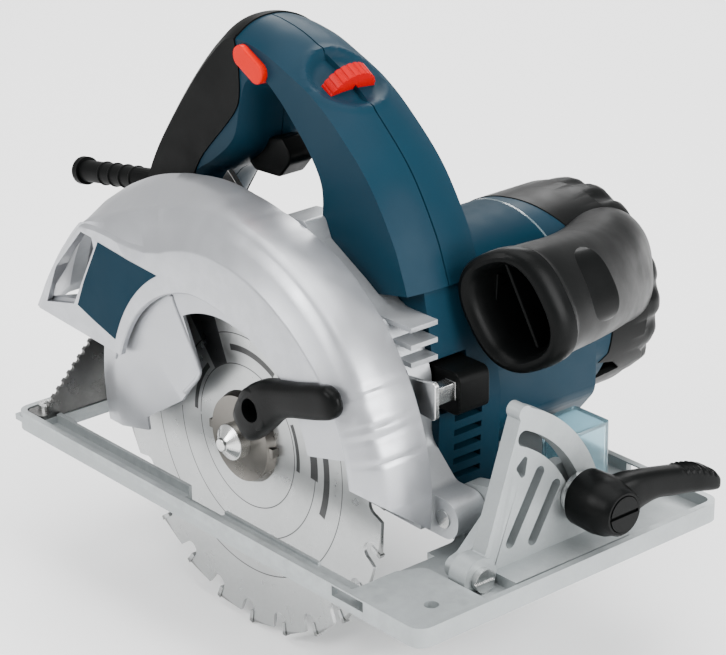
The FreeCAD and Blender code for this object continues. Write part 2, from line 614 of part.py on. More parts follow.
def upper_guard():
    """Cast half drum with a bevelled face, a round window and a chip chute at the rear."""
    drum, bevel = guard_shell("guard_outside", 0)
    chute = outline("guard_chute", "Y", "-16", "34",
                    corner([(-60, 110), (-84, 47.5), (-127, 49), (-148, 54), (-103, 106),
                            (-84, 112)], [0, 0, 6, 8, 10, 6]))
    inner_drum, inner_bevel = guard_shell("guard_inside", 1)
    inner_chute = outline("guard_inner_chute", "Y", "-13.5", "29",
                          corner([(-60, 104), (-72, 40), (-122, 40), (-143, 56), (-103, 101),
                                  (-84, 107)], [0, 0, 0, 6, 7, 6]))
    outlet = outline("guard_outlet", "Y", "-9", "22",
                     polygon([(-150, 62), (-115, 100), (-128, 112), (-164, 70)], 3))
    window = cylinder("guard_window", "Y", "window_radius", "8", "0", "-guard_face - 2",
                      "arbor_height")
    window_rear = outline("guard_window_rear", "Y", "-guard_face - 2", "8",
                          corner([(-79.5, 40), (-76, 52), (-66, 78), (-40, 92), (0, 60),
                                  (0, 20), (-60, 20)], [0, 20, 20, 20, 0, 0, 0]))
    below = outline("guard_below", "Y", "-30", "60",
                    corner([(-170, -90), (130, -90), (130, 10), (104, 18), (98, 22),
                            (71.5, 43), (-40, 43), (-79.5, 47.4), (-170, 47.4)],
                           [0, 0, 0, 0, 4, 0, 0, 0, 0]))
    slant = outline("guard_slant", "X", "60", "60",
                    polygon([(-30, -50), (20, -50), (20, 17), (13, 17), (-8, 27), (-19, 33),
                             (-30, 33)]))
    hub = cylinder("guard_hub_hole", "Y", "32", "10", "0", "12", "arbor_height")
    solid = fuse("guard_solid", drum, bevel, chute)
    hollow = fuse("guard_hollow", inner_drum, inner_bevel, inner_chute)
    grooves = []
    for index, degrees in enumerate((8, 15, 27)):
        spot = polar((0, size.arbor_height), size.guard_radius + 0.2, degrees)
        grooves.append(cylinder("guard_groove_%d" % index, "Y", "0.8", "24", str(spot[0]), "-6",
                                str(spot[1])))
    node("upper_guard", cut("upper_guard", solid, hollow, window, window_rear, below, slant,
                            outlet, hub, *grooves))


def gear_case():
    """Cast gear case behind the guard, with the bearing nose and the front pivot arm."""
    centre = (0, size.arbor_height)
    loop = corner([(-24, 6), (24, 6), (52, 14), (98, 13), (117, 13), (117, 31), (98, 31), (82, 46),
                   (82, 76), (72, 100), (62, 104), (50, 111), (26, 124), (22, 133.5), (6, 132),
                   (-14, 118), (-31, 78), (-36, 40)],
                  [22, 14, 8, 0, 8.5, 8.5, 6, 10, 10, 8, 3, 3, 3, 3, 4, 12, 12, 16])
    case = outline("case_body", "Y", "guard_rim_end", "housing_start - guard_rim_end", loop)
    nose = cylinder("case_nose", "Y", "nose_radius", "guard_rim_end - nose_start", "0",
                    "nose_start", "arbor_height")
    direction = line_of_centres()
    reach = size.gear_module * (size.drive_teeth + size.idler_teeth) / 2
    idle = polar(centre, reach, direction)
    room = [cylinder("case_gear_room", "Y", "25.8", "20", "0", "gear_start - 1.5",
                     "arbor_height"),
            cylinder("case_idler_room", "Y", "10", "20", str(idle[0]), "gear_start - 1.5",
                     str(idle[1])),
            cylinder("case_pinion_room", "Y", "13", "20", "motor_x", "gear_start - 1.5",
                     "motor_z"),
            cylinder("case_bearing_seat", "Y", "bearing_outer / 2", "bearing_width", "0", "12",
                     "arbor_height"),
            cylinder("case_spindle_way", "Y", "9", "40", "0", "0", "arbor_height"),
            cylinder("case_pin_seat", "Y", "idler_pin / 2", "6", str(idle[0]), "22.5",
                     str(idle[1])),
            cylinder("case_pivot_bore", "Y", "depth_pin / 2 + running_gap", "24",
                     "depth_pivot_x", "16", "depth_pivot_z")]
    guide_room = outline("case_guide_room", "Y", "17", "6.8",
                         sector((size.depth_pivot_x, size.depth_pivot_z),
                                size.guide_radius - size.guide_width / 2 - 1.2,
                                size.guide_radius + 60, 100, 250))
    rear_flange = outline("case_rear_flange", "Y", "24.4", "5",
                          corner([(-30, 34), (-76, 32), (-76, 50), (-50, 60), (-28, 78)],
                                 [0, 7, 7, 10, 0]))
    clamp_hole = cylinder("case_clamp_hole", "Y", "clamp_bolt / 2", "12", CLAMP_X, "22", CLAMP_Z)
    front_cut = box("case_front_cut", ("96", "120"), ("17", "20.4"), ("5", "40"))
    webs = [box("case_web_%d" % index, ("66", "86"), ("22", "37"), (str(low), str(low + 2.2)))
            for index, low in enumerate((84, 92, 100))]
    lock_way = box("case_lock_way", ("66", "90"), ("21.7", "24.7"), ("64", "80.5"))
    solid = fuse("case_solid", case, nose, rear_flange, *webs)
    node("gear_case", cut("gear_case", solid, guide_room, clamp_hole, front_cut, lock_way, *room))


CLAMP_X = "depth_pivot_x - guide_radius * cos(5.8)"
CLAMP_Z = "depth_pivot_z + guide_radius * sin(5.8)"


def depth_clamp():
    """Bolt through the depth guide's slot, and the lever nut that clamps it."""
    shank = cylinder("depth_bolt_shank", "Y", "clamp_bolt / 2", "24", CLAMP_X, "19", CLAMP_Z)
    head = cylinder("depth_bolt_head", "Y", "5.4", "1.2", CLAMP_X, "18.6", CLAMP_Z)
    node("depth_clamp_bolt", fuse("depth_clamp_bolt", shank, head))
    hub = cylinder("depth_lever_hub", "Y", "9", "12", CLAMP_X, "29.8", CLAMP_Z)
    x = size.depth_pivot_x - size.guide_radius * math.cos(math.radians(5.8))
    z = size.depth_pivot_z + size.guide_radius * math.sin(math.radians(5.8))
    arm = outline("depth_lever_arm", "Y", "35", "6.8",
                  corner([(x - 3, z - 7), (x + 6, z - 5), (x - 38, z + 34), (x - 46, z + 26)],
                         [3, 3, 5, 5]))
    bore = cylinder("depth_lever_bore", "Y", "clamp_bolt / 2 + running_gap", "20", CLAMP_X, "28",
                    CLAMP_Z)
    node("depth_clamp_lever", cut("depth_clamp_lever", fuse("depth_lever", hub, arm), bore))


# ------------------------------------------------------------------------------ motor and handles
def motor_housing():
    """Moulded drum round the motor with a square shoulder in front, down to the base plate."""
    centre = (size.motor_x, size.motor_z)
    drum = cylinder("motor_drum", "Y", "housing_radius", "cap_start - housing_start", "motor_x",
                    "housing_start", "motor_z")
    shoulder = outline("motor_shoulder", "Y", "housing_start", "36",
                       corner([(10, 14), (72, 11), (85, 14), (87, 58), (77, 114), (58, 116),
                               (27, 116)], [8, 4, 5, 12, 6, 12, 0]))
    skirt = outline("motor_skirt", "Y", "housing_start + 36", "cap_start - housing_start - 48",
                    corner([(27, 17), (66, 20), (79, 36), (79, 66), (60, 100), (27, 100)],
                           [0, 10, 12, 10, 0, 0]))
    boss = cylinder("motor_spindle_boss", "Y", "17.4", "11.4", "0", "housing_start",
                    "arbor_height")
    boss_room = cylinder("motor_spindle_room", "Y", "14", "10.4", "0", "housing_start - 1",
                         "arbor_height")
    bore = cylinder("motor_bore", "Y", "housing_radius - housing_wall", "200", "motor_x",
                    "housing_start + 9", "motor_z")
    hollow = outline("motor_hollow", "Y", "housing_start + 9", "24",
                     corner([(60, 24), (80, 20), (82, 58), (72, 100), (60, 100)], [0, 4, 6, 4, 0]))
    front_room = outline("motor_front_room", "Y", "housing_start - 1", "11",
                         corner([(-10, 14), (40, 14), (62, 40), (62, 80), (40, 100), (0, 90)],
                                [10, 10, 10, 10, 10, 10]))
    vents = []
    for index in range(5):
        low = 24 + 7 * index
        vents.append(box("motor_vent_%d" % index, ("74", "92"), ("46", "62"),
                         (str(low), str(low + 3))))
    lock_room = box("motor_lock_room", ("72", "100"), ("housing_start - 1", "56"), ("58", "82"))
    node("motor_housing", cut("motor_housing", fuse("motor_solid", drum, shoulder, skirt, boss),
                              bore, hollow, front_room, lock_room, boss_room, *vents))
    plate = cylinder("flange_plate", "Y", "housing_radius - housing_wall", "4", "motor_x",
                     "housing_start + 9.2", "motor_z")
    seat = cylinder("flange_seat", "Y", "16", "8", "motor_x", "housing_start + 9.2", "motor_z")
    seat_bore = cylinder("flange_seat_bore", "Y", "small_bearing / 2", "8", "motor_x",
                         "housing_start + 10.2", "motor_z")
    way = cylinder("flange_way", "Y", "7", "40", "motor_x", "housing_start", "motor_z")
    spindle_boss = cylinder("flange_spindle_boss", "Y", "14", "11", "0", "35.4", "arbor_height")
    spindle_bore = cylinder("flange_spindle_bore", "Y", "small_bearing / 2", "9", "0", "35",
                            "arbor_height")
    spindle_way = cylinder("flange_spindle_way", "Y", "8.4", "40", "0", "30", "arbor_height")
    node("bearing_flange", cut("bearing_flange", fuse("flange_solid", plate, seat, spindle_boss),
                               seat_bore, way, spindle_bore, spindle_way))
    cap = cylinder("cap_drum", "Y", "housing_radius", "cap_end - cap_start - 8", "motor_x",
                   "cap_start", "motor_z")
    dome = cone("cap_dome", "Y", "housing_radius", "housing_radius - 9", "8", "motor_x",
                "cap_end - 8", "motor_z")
    room = cylinder("cap_room", "Y", "housing_radius - housing_wall",
                    "cap_end - cap_start - 8 - housing_wall + 1", "motor_x", "cap_start - 1",
                    "motor_z")
    pocket = cylinder("cap_pocket", "Y", "13.5", "14", "motor_x", "168", "motor_z")
    pocket_bore = cylinder("cap_pocket_bore", "Y", "small_bearing / 2", "10", "motor_x", "167",
                           "motor_z")
    slots = []
    for index in range(8):
        spot = polar(centre, size.housing_radius, index * 45 + 10)
        slots.append(cylinder("cap_slot_%d" % index, "Y", "3", "16", str(spot[0]), "160",
                              str(spot[1])))
    hollow_cap = cut("cap_hollow", fuse("cap_solid", cap, dome), room)
    node("motor_cap", cut("motor_cap", fuse("cap_inside", hollow_cap, pocket), pocket_bore,
                          *slots))
    ring_face = outline("stator_ring", "Y", "core_start - 2", "core_length + 4",
                        ring(centre, size.stator_radius),
                        ring(centre, size.core_radius + size.stator_gap))
    flats = [box("stator_flat_%d" % index, ("motor_x - 60", "motor_x + 60"),
                 ("core_start - 3", "core_start + core_length + 3"), pair)
             for index, pair in enumerate((("motor_z + 36", "motor_z + 60"),
                                           ("motor_z - 60", "motor_z - 36")))]
    node("field_stator", cut("field_stator", ring_face, *flats))
    for name, side in (("upper", 1), ("lower", -1)):
        low, high = sorted((side * 15.2, side * 44))
        holder = box(name + "_holder_block", ("motor_x - 6", "motor_x + 6"), ("133", "145"),
                     ("motor_z + %g" % low, "motor_z + %g" % high))
        low, high = sorted((side * 14.6, side * 41))
        way = box(name + "_holder_way", ("motor_x - 3.2", "motor_x + 3.2"), ("135", "143"),
                  ("motor_z + %g" % low, "motor_z + %g" % high))
        low, high = sorted((side * 14.3, side * 30))
        brush = box(name + "_brush", ("motor_x - 3.2", "motor_x + 3.2"), ("135", "143"),
                    ("motor_z + %g" % low, "motor_z + %g" % high))
        node(name + "_brush_holder", cut(name + "_brush_holder", holder, way))
        node(name + "_carbon_brush", brush)


def front_handle():
    """Hollow tapering grip in front of the motor, open at its right end."""
    length = size.tail_start - size.mouth_start

    def section(share, shrink):
        x = size.mouth_x + (size.tail_x - size.mouth_x) * share
        z = size.mouth_z + (size.tail_z - size.mouth_z) * share
        wide = size.mouth_width + (size.tail_size - size.mouth_width) * share - 2 * shrink
        high = size.mouth_height + (size.tail_size - size.mouth_height) * share - 2 * shrink
        y = size.mouth_start + length * share
        oval = Part.Ellipse(V(), max(wide, high) / 2, min(wide, high) / 2)
        wire = Part.Wire([oval.toShape()])
        upright = FreeCAD.Rotation(V(1, 0, 0), 90)
        lean = FreeCAD.Rotation(V(0, 1, 0), 14) if high >= wide else FreeCAD.Rotation()
        standing = FreeCAD.Rotation(V(0, 1, 0), 90) if high >= wide else FreeCAD.Rotation()
        wire.Placement = FreeCAD.Placement(V(x, y, z), lean * standing * upright)
        return wire

    outside = Part.makeLoft([section(share, 0) for share in (0, 0.35, 0.7, 1)], True)
    inside = Part.makeLoft([section(share, size.front_handle_wall) for share in (-0.02, 0.3, 0.6)],
                           True)
    shell = feature("front_handle_shell", outside.cut(inside))
    web = outline("front_handle_web", "Y", "handle_left + 0.02", "15",
                  corner([(62, 92), (96, 84), (96, 120), (74, 124), (62, 116)], [0, 0, 8, 6, 0]))
    bridge = outline("front_handle_bridge", "Y", "tail_start - 18", "30",
                     corner([(52, 62), (88, 66), (97, 80), (92, 99), (72, 106), (48, 106)],
                            [0, 10, 10, 12, 10, 0]))
    inner = feature("front_handle_room", inside)
    motor_room = cylinder("front_handle_motor_room", "Y", "housing_radius + 0.02", "200",
                          "motor_x", "0", "motor_z")
    shoulder_room = outline("front_handle_shoulder_room", "Y", "housing_start", "36.02",
                            polygon([(0, 10), (86.5, 10), (86.5, 62), (77.5, 114.5), (50, 118)]))
    split = feature("front_handle_rib", Part.makeBox(3, 70, 36, V(96, 64, 86)).common(inside))
    node("front_handle", fuse("front_handle",
                              cut("front_handle_body", fuse("front_handle_solid", shell, web,
                                                            bridge), inner, motor_room,
                                  shoulder_room), split))


def handle_outline(shrink):
    """Faces of the main handle seen from the side: the whole D, and the opening in it."""
    whole = [(-130, 104), (-112, 142), (-60, 205), (-30, 208), (22, 190), (60, 152), (78, 114),
             (64, 104), (0, 84), (-22, 82), (-92, 80), (-118, 84)]
    bends = [6, 70, 26, 40, 80, 90, 0, 0, 0, 0, 6, 8]
    hole = [(17, 134), (17, 144), (-5, 169), (-19, 181), (-33, 172), (-27, 160), (-32, 146),
            (-48, 134), (-66, 134), (-92, 100), (-60, 97), (-5, 101), (14, 117)]
    hole_bends = [4, 12, 30, 3, 3, 3, 3, 6, 8, 5, 10, 12, 12]
    outside = filled(corner(whole, bends))
    opening = filled(corner(hole, hole_bends))
    if shrink:
        outside = outside.makeOffset2D(-shrink)
        opening = opening.makeOffset2D(shrink)
    return outside, opening


def filled(edges):
    """Face inside a closed outline."""
    return Part.Face(Part.Wire(Part.sortEdges([edge.toShape() for edge in edges])[0]))


def slab(face, low, high):
    """Pad a face drawn in X and Z between two Y values."""
    turned = face.copy()
    turned.rotate(V(), V(1, 0, 0), 90)
    turned.translate(V(0, low, 0))
    return turned.extrude(V(0, high - low, 0))


def main_handle():
    """Clamshell D handle with a rubber skin on its grip."""
    right, split, left = size.handle_right, size.handle_split, size.handle_left
    outside, opening = handle_outline(0)
    full = slab(outside.cut(opening), right, left)
    skin = size.grip_skin
    under, wider = handle_outline(skin)
    core = slab(under.cut(wider), right + skin, left - skin)
    inset = skin + size.fit_gap
    under, wider = handle_outline(inset)
    bonded = slab(under.cut(wider), right + inset, left - inset)
    wall = size.handle_wall + skin
    deep, widest = handle_outline(wall)
    room = slab(deep.cut(widest), right + wall, left - wall)
    border = Part.Face(Part.makePolygon([V(*spot, 0) for spot in (
        (-140, 84), (-108, 84), (-84, 112), (-60, 141), (-47, 158), (-36, 172), (-37, 215),
        (-90, 215), (-140, 150), (-140, 84))]))
    grip_zone = slab(border, right - 5, left + 5)
    skin_zone = grip_zone.copy()
    skin_zone.translate(V(-size.fit_gap, 0, 0))
    bare = full.cut(grip_zone).fuse(bonded.common(grip_zone)).cut(room)
    for block in motor_blocks():
        bare = bare.cut(block)
    trigger_way = Part.makeBox(34, 15, 30, V(-56, split - 7.5, 128))
    button_way = slab(Part.Face(Part.Wire([edge.toShape() for edge in straight_slot(
        (-31.5, 194), (-21, 188.5), 10.6)])), right - 2, split)
    dial_way = Part.makeBox(8.4, 2 * size.dial_radius + 2, 30,
                            V(-4.2, -size.dial_radius - 1, -14))
    dial_way.Placement = dial_place()
    start, along = sleeve_line()
    sleeve_way = Part.makeCylinder(size.sleeve_radius + size.fit_gap, 24, start - along * 4, along)
    bare = bare.cut(Part.makeCompound([trigger_way, button_way, dial_way, sleeve_way]))
    halves = (("handle_right_shell", right - 5, split), ("handle_left_shell", split, left + 5))
    for name, low, high in halves:
        half = bare.common(Part.makeBox(400, high - low, 400, V(-200, low, -50)))
        node(name, feature(name, largest(half)))
    skin_shape = full.common(skin_zone).cut(core).cut(button_way).cut(sleeve_way)
    node("grip_cover", feature("grip_cover", largest(skin_shape.cut(trigger_way))))


def motor_blocks():
    """Spaces that the motor housing and the gear case take out of the handle shells."""
    drum = Part.makeCylinder(size.housing_radius + size.fit_gap, 150,
                             V(size.motor_x, size.housing_start - size.fit_gap, size.motor_z),
                             V(0, 1, 0))
    shoulder = Part.makePolygon([V(*spot, 0) for spot in (
        (27, 116.1), (58, 116.1), (77.8, 114.5), (90, 60), (90, 0), (0, 0), (27, 116.1))])
    case = Part.makePolygon([V(*spot, 0) for spot in (
        (-40, 30), (-40, 84), (-14, 120), (6, 135), (23, 135), (27, 125), (50, 113), (63, 106),
        (90, 104), (90, 30), (-40, 30))])
    return (drum, slab(Part.Face(shoulder), size.housing_start, 80),
            slab(Part.Face(case), 20, size.housing_start))


def largest(shape):
    """The biggest solid of a shape, which drops slivers left by a cut."""
    return max(shape.Solids, key=lambda solid: solid.Volume)


def handle_controls():
    """Trigger, lock-off button, speed dial and what they work on inside the handle."""
    split = size.handle_split
    lever = outline("trigger_blade", "Y", "handle_split - 7", "14",
                    corner([(-50, 150), (-34, 152), (-25, 154), (-17, 146), (-27, 135), (-45, 134),
                            (-52, 140)], [2, 0, 3, 6, 5, 5, 2]))
    node("trigger", lever)
    button = outline("button_head", "Y", "handle_right - 3", "7.5",
                     straight_slot((-31.5, 194), (-21, 188.5), size.lock_off_height))
    stem = outline("button_stem", "Y", "handle_right + 4.5", "6", ring((-26.2, 191.2), 3))
    node("lock_off_button", fuse("lock_off_button", button, stem))
    thick = size.dial_width
    wheel = Part.makeCylinder(size.dial_radius, thick, V(-thick / 2, 0, 0), V(1, 0, 0))
    for step in range(24):
        across, up = polar((0, 0), size.dial_radius + 0.15, step * 15)
        wheel = wheel.cut(Part.makeCylinder(0.7, thick + 2, V(-thick / 2 - 1, across, up),
                                            V(1, 0, 0)))
    wheel = wheel.cut(Part.makeCylinder(2.06, 20, V(-10, 0, 0), V(1, 0, 0)))
    dial = feature("speed_dial", wheel)
    dial.Placement = dial_place()
    node("speed_dial", dial)
    pin = feature("dial_rod", Part.makeCylinder(2, 9, V(-4.5, 0, 0), V(1, 0, 0)))
    pin.Placement = dial_place()
    node("dial_pin", pin)
    switch = box("switch_block", ("-78", "-58"), ("handle_split - 8", "handle_split + 8"),
                 ("146", "160"))
    plunger = box("switch_plunger", ("-58", "-57"), ("handle_split - 3", "handle_split + 3"),
                  ("150", "154"))
    node("power_switch", fuse("power_switch", switch, plunger))
    node("speed_module", box("speed_module", ("25", "46"), ("handle_split - 10",
                             "handle_split + 10"), ("138", "152")))


def dial_place():
    """Place of the speed dial, with X turned along its axle, down the front of the handle."""
    return FreeCAD.Placement(V(13, size.handle_split, 184.5),
                             FreeCAD.Rotation(V(1, 0, 0), V(0.847, 0, -0.532)))


def sleeve_line():
    """Where the cord sleeve starts inside the grip, and the way that it points."""
    return V(-118, size.handle_split, 107.2), V(-0.985, 0, -0.17)


def cord_sleeve():
    """Ribbed strain-relief sleeve that leads the cord out of the grip."""
    start, along = sleeve_line()
    sleeve = Part.makeCylinder(size.sleeve_radius, size.sleeve_length, start, along)
    lip = Part.makeCylinder(size.sleeve_radius + 1.6, 4, start + along * (size.sleeve_length - 4),
                            along)
    ribs = [Part.makeTorus(size.sleeve_radius - 0.3, 0.9, start + along * (30 + 9 * step), along)
            for step in range(4)]
    bore = Part.makeCylinder(3.6, size.sleeve_length + 2, start - along, along)
    node("cord_sleeve", feature("cord_sleeve", sleeve.fuse([lip] + ribs).cut(bore)))


def lower_guard():
    """Swinging guard: outer panel, ring, rim and inner plate with a hub on the case nose."""
    centre = (0, size.arbor_height)
    start, finish = 14, 193
    outer = size.swing_radius
    ring_plate = outline("swing_ring", "Y", "-swing_face", "swing_wall",
                         sector(centre, 72, size.swing_crease, start, finish))
    panel = outline("swing_panel", "Y", "-swing_face", "swing_wall",
                    corner([(-38, 104), (-16.7, 59), (-31.4, 40.6), (-68.7, 16.9),
                            (-90, 8), (-120, 60), (-80, 104)], [0, 7, 7, 8, 0, 0, 0]))
    disc = cylinder("swing_disc", "Y", "swing_crease", "swing_wall", "0", "-swing_face",
                    "arbor_height")
    skirt_out = cone("swing_skirt_out", "Y", "swing_crease", "swing_radius - 0.6", "5", "0",
                     "-swing_face", "arbor_height")
    skirt_in = cone("swing_skirt_in", "Y", "swing_crease - 3", "swing_radius - 3.4", "5.1", "0",
                    "-swing_face + 1.4", "arbor_height")
    rim = cylinder("swing_rim", "Y", "swing_radius", "swing_face + swing_back - 5", "0",
                   "-swing_face + 5", "arbor_height")
    rim_in = cylinder("swing_rim_in", "Y", "swing_radius - swing_wall",
                      "swing_face + swing_back - 4.9", "0", "-swing_face + 4.9", "arbor_height")
    wedge = outline("swing_wedge", "Y", "-30", "60", sector(centre, 60, 130, start, finish))
    shell = common("swing_shell", cut("swing_hollow", fuse("swing_drum", skirt_out, rim), skirt_in,
                                      rim_in), wedge)
    back = outline("swing_back_plate", "Y", "swing_back - swing_wall", "swing_wall",
                   sector(centre, 40, outer - 0.1, start, finish))
    hub_arm = outline("swing_hub_arm", "Y", "swing_back - swing_wall", "swing_wall",
                      sector(centre, 26, 41, start + 20, finish))
    hub = outline("swing_hub", "Y", "8.6", "3.4", ring(centre, 29.5),
                  ring(centre, size.nose_radius + size.running_gap))
    node("lower_guard", fuse("lower_guard", ring_plate, common("swing_panel_cut", panel, disc),
                             shell, back, hub_arm, hub))
    boss = Part.makeCylinder(9.5, 15.4, V(34.6, -31.2, 61.8), V(0, 1, 0))
    hole = Part.makeCylinder(5.6, 12, V(34.6, -32, 61.8), V(0, 1, 0))
    foot = [(28, 66), (40, 56), (66, 78), (52, 92)]
    paddle = [(30, 68), (30, 55), (52, 55), (72, 64), (91, 78), (88, 92), (60, 76)]
    post = straight_slot((36, 62.6), (47.5, 71.3), 10)
    solids = [slab(filled(corner(foot, [4] * 4)), -14.7, -size.swing_face),
              slab(filled(corner(paddle, [3, 5, 8, 8, 5, 5, 8])), -29, -20),
              slab(filled(post), -22, -13.8)]
    node("guard_lever", feature("guard_lever", boss.fuse(solids).cut(hole)))
    coils = [Part.makeTorus(27.4, 0.7, V(0, size.swing_back + 1.3 + 1.1 * step, size.arbor_height),
                            V(0, 1, 0)) for step in range(3)]
    spring = feature("guard_spring", coils[0].fuse(coils[1:]))
    node("guard_spring", spring)


def spindle_lock():
    """Sliding lock: a black thumb block and a steel tongue in front of the gear case."""
    tongue = outline("lock_tongue", "Y", "22", "2.4",
                     corner([(70, 66), (101, 64), (101, 82), (92, 80), (70, 78)],
                            [0, 2, 2, 2, 0]))
    thumb = outline("lock_thumb", "Y", "38", "17",
                    corner([(78, 60.5), (99, 60.5), (99, 80), (78, 80)], [2, 4, 4, 2]))
    link = box("lock_link", ("90", "96"), ("24.4", "38"), ("68", "76"))
    node("spindle_lock", fuse("spindle_lock", tongue, thumb, link))


def labels():
    """Blank plates: one on the guard's chute, one on top of the motor."""
    node("guard_label", outline("guard_label", "Y", "-16.4", "0.4",
                                corner([(-109, 96), (-86, 84), (-101, 59), (-130, 63)],
                                       [1, 1, 1, 1])))


def bevel_lever():
    """Black clamping lever on the bevel bolt, with its slotted cap."""
    hub = cylinder("lever_hub_disc", "X", "lever_hub", "22", "lever_x", "lever_y", "lever_z")
    arm = outline("lever_arm", "Z", "24", "9.5",
                  corner([(152, 70), (166, 76), (166, 132), (150, 132), (147, 100)],
                         [0, 8, 7, 7, 12]))
    bore = cylinder("lever_bore", "X", "clamp_bolt / 2 + running_gap", "26", "lever_x - 1",
                    "lever_y", "lever_z")
    seat = cylinder("lever_seat", "X", "8.2", "3", "lever_x + 20", "lever_y", "lever_z")
    node("bevel_lever", cut("bevel_lever", fuse("bevel_lever_solid", hub, arm), bore, seat))
    cap = cylinder("cap_screw_disc", "X", "8", "4.4", "lever_x + 20", "lever_y", "lever_z")
    groove = box("cap_screw_groove", ("lever_x + 23", "lever_x + 25"), ("lever_y - 9",
                 "lever_y + 9"), ("lever_z - 0.8", "lever_z + 0.8"))
    node("bevel_lever_screw", cut("bevel_lever_screw", cap, groove))


# ------------------------------------------------------------------------------------- assembly
base_plate()
rear_bracket()
sight_cover()
bevel_pivot_bolt()
rear_pivot_pin()
bevel_frame()
depth_guide()
bevel_lever()
blade()
arbor()
idler()
armature()
upper_guard()
gear_case()
depth_clamp()
motor_housing()
front_handle()
main_handle()
handle_controls()
cord_sleeve()
lower_guard()
spindle_lock()
labels()
race("front_spindle_bearing", "spindle_diameter / 2", "bearing_outer / 2", "12", "bearing_width",
     "0", "arbor_height")
race("rear_spindle_bearing", "spindle_diameter / 2", "small_bearing / 2", "36", "7", "0",
     "arbor_height")
race("front_motor_bearing", "motor_shaft / 2", "small_bearing / 2", "housing_start + 10.2", "7",
     "motor_x", "motor_z")
race("rear_motor_bearing", "motor_shaft / 2", "small_bearing / 2", "168", "7", "motor_x",
     "motor_z")

doc.recompute()
faults = [thing.Label for thing in doc.Objects if {"Invalid", "Error"} & set(thing.State)]
if faults:
    raise SystemExit("failed objects: %s" % faults)
for name, thing in nodes.items():
    if thing.Shape.isNull() or not thing.Shape.isValid():
        raise SystemExit("bad shape: %s" % name)
for name, thing in nodes.items():
    thing.Shape.exportStep("parts/%s.step" % name)
    bounds = thing.Shape.BoundBox
    print("%-24s solids %2d volume %10.1f  x %7.1f %7.1f  y %7.1f %7.1f  z %7.1f %7.1f" % (
        name, len(thing.Shape.Solids), thing.Shape.Volume, bounds.XMin, bounds.XMax, bounds.YMin,
        bounds.YMax, bounds.ZMin, bounds.ZMax))
print(len(nodes), "nodes")
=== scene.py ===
"""Looks of a hand-held circular saw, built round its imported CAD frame.

Shapes are written in millimetres and turned into the frame's metres by MM. X points to the
front of the saw, Y to its motor side and Z up, from the sole under the blade's axis.
"""
import json
import math

import bmesh
import bpy
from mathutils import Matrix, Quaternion, Vector


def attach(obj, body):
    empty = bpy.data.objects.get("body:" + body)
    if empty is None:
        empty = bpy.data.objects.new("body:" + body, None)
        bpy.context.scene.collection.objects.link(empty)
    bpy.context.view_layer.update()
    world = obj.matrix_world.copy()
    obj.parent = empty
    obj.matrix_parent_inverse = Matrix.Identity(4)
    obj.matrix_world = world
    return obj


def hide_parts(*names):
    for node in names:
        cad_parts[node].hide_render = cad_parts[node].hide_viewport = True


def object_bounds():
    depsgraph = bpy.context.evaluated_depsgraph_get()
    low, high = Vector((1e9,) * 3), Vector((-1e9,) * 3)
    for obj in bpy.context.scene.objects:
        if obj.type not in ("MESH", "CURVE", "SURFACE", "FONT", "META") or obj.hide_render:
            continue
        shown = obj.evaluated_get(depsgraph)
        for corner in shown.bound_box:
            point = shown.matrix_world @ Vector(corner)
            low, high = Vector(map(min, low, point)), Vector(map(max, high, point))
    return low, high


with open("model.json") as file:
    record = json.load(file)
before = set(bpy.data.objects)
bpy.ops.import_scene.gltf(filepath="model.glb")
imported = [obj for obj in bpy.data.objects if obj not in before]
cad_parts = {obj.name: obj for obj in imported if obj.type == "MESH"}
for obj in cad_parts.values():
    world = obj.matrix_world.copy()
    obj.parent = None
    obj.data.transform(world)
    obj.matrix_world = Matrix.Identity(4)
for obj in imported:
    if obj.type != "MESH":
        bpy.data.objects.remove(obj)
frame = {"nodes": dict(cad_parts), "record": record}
cad_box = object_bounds()

MM = 0.001
ARBOR = (0.0, 30.0)
SLOT_OF = {part["node"]: part["material_slot"] for part in frame["record"]["subparts"]}
BODY_OF = {node: body for body, nodes in frame["record"]["behaviour"]["bodies"].items()
           for node in nodes}


# ---------------------------------------------------------------- materials

def screen(red, green, blue):
    """Linear colour for red, green and blue as a screen shows them, 0 to 255."""
    def linear(level):
        share = level / 255
        return share / 12.92 if share <= 0.04045 else ((share + 0.055) / 1.055) ** 2.4
    return (linear(red), linear(green), linear(blue), 1.0)


def tinted(colour, factor):
    """The same colour, lighter or darker."""
    return tuple(min(1.0, part * factor) for part in colour[:3]) + (1.0,)


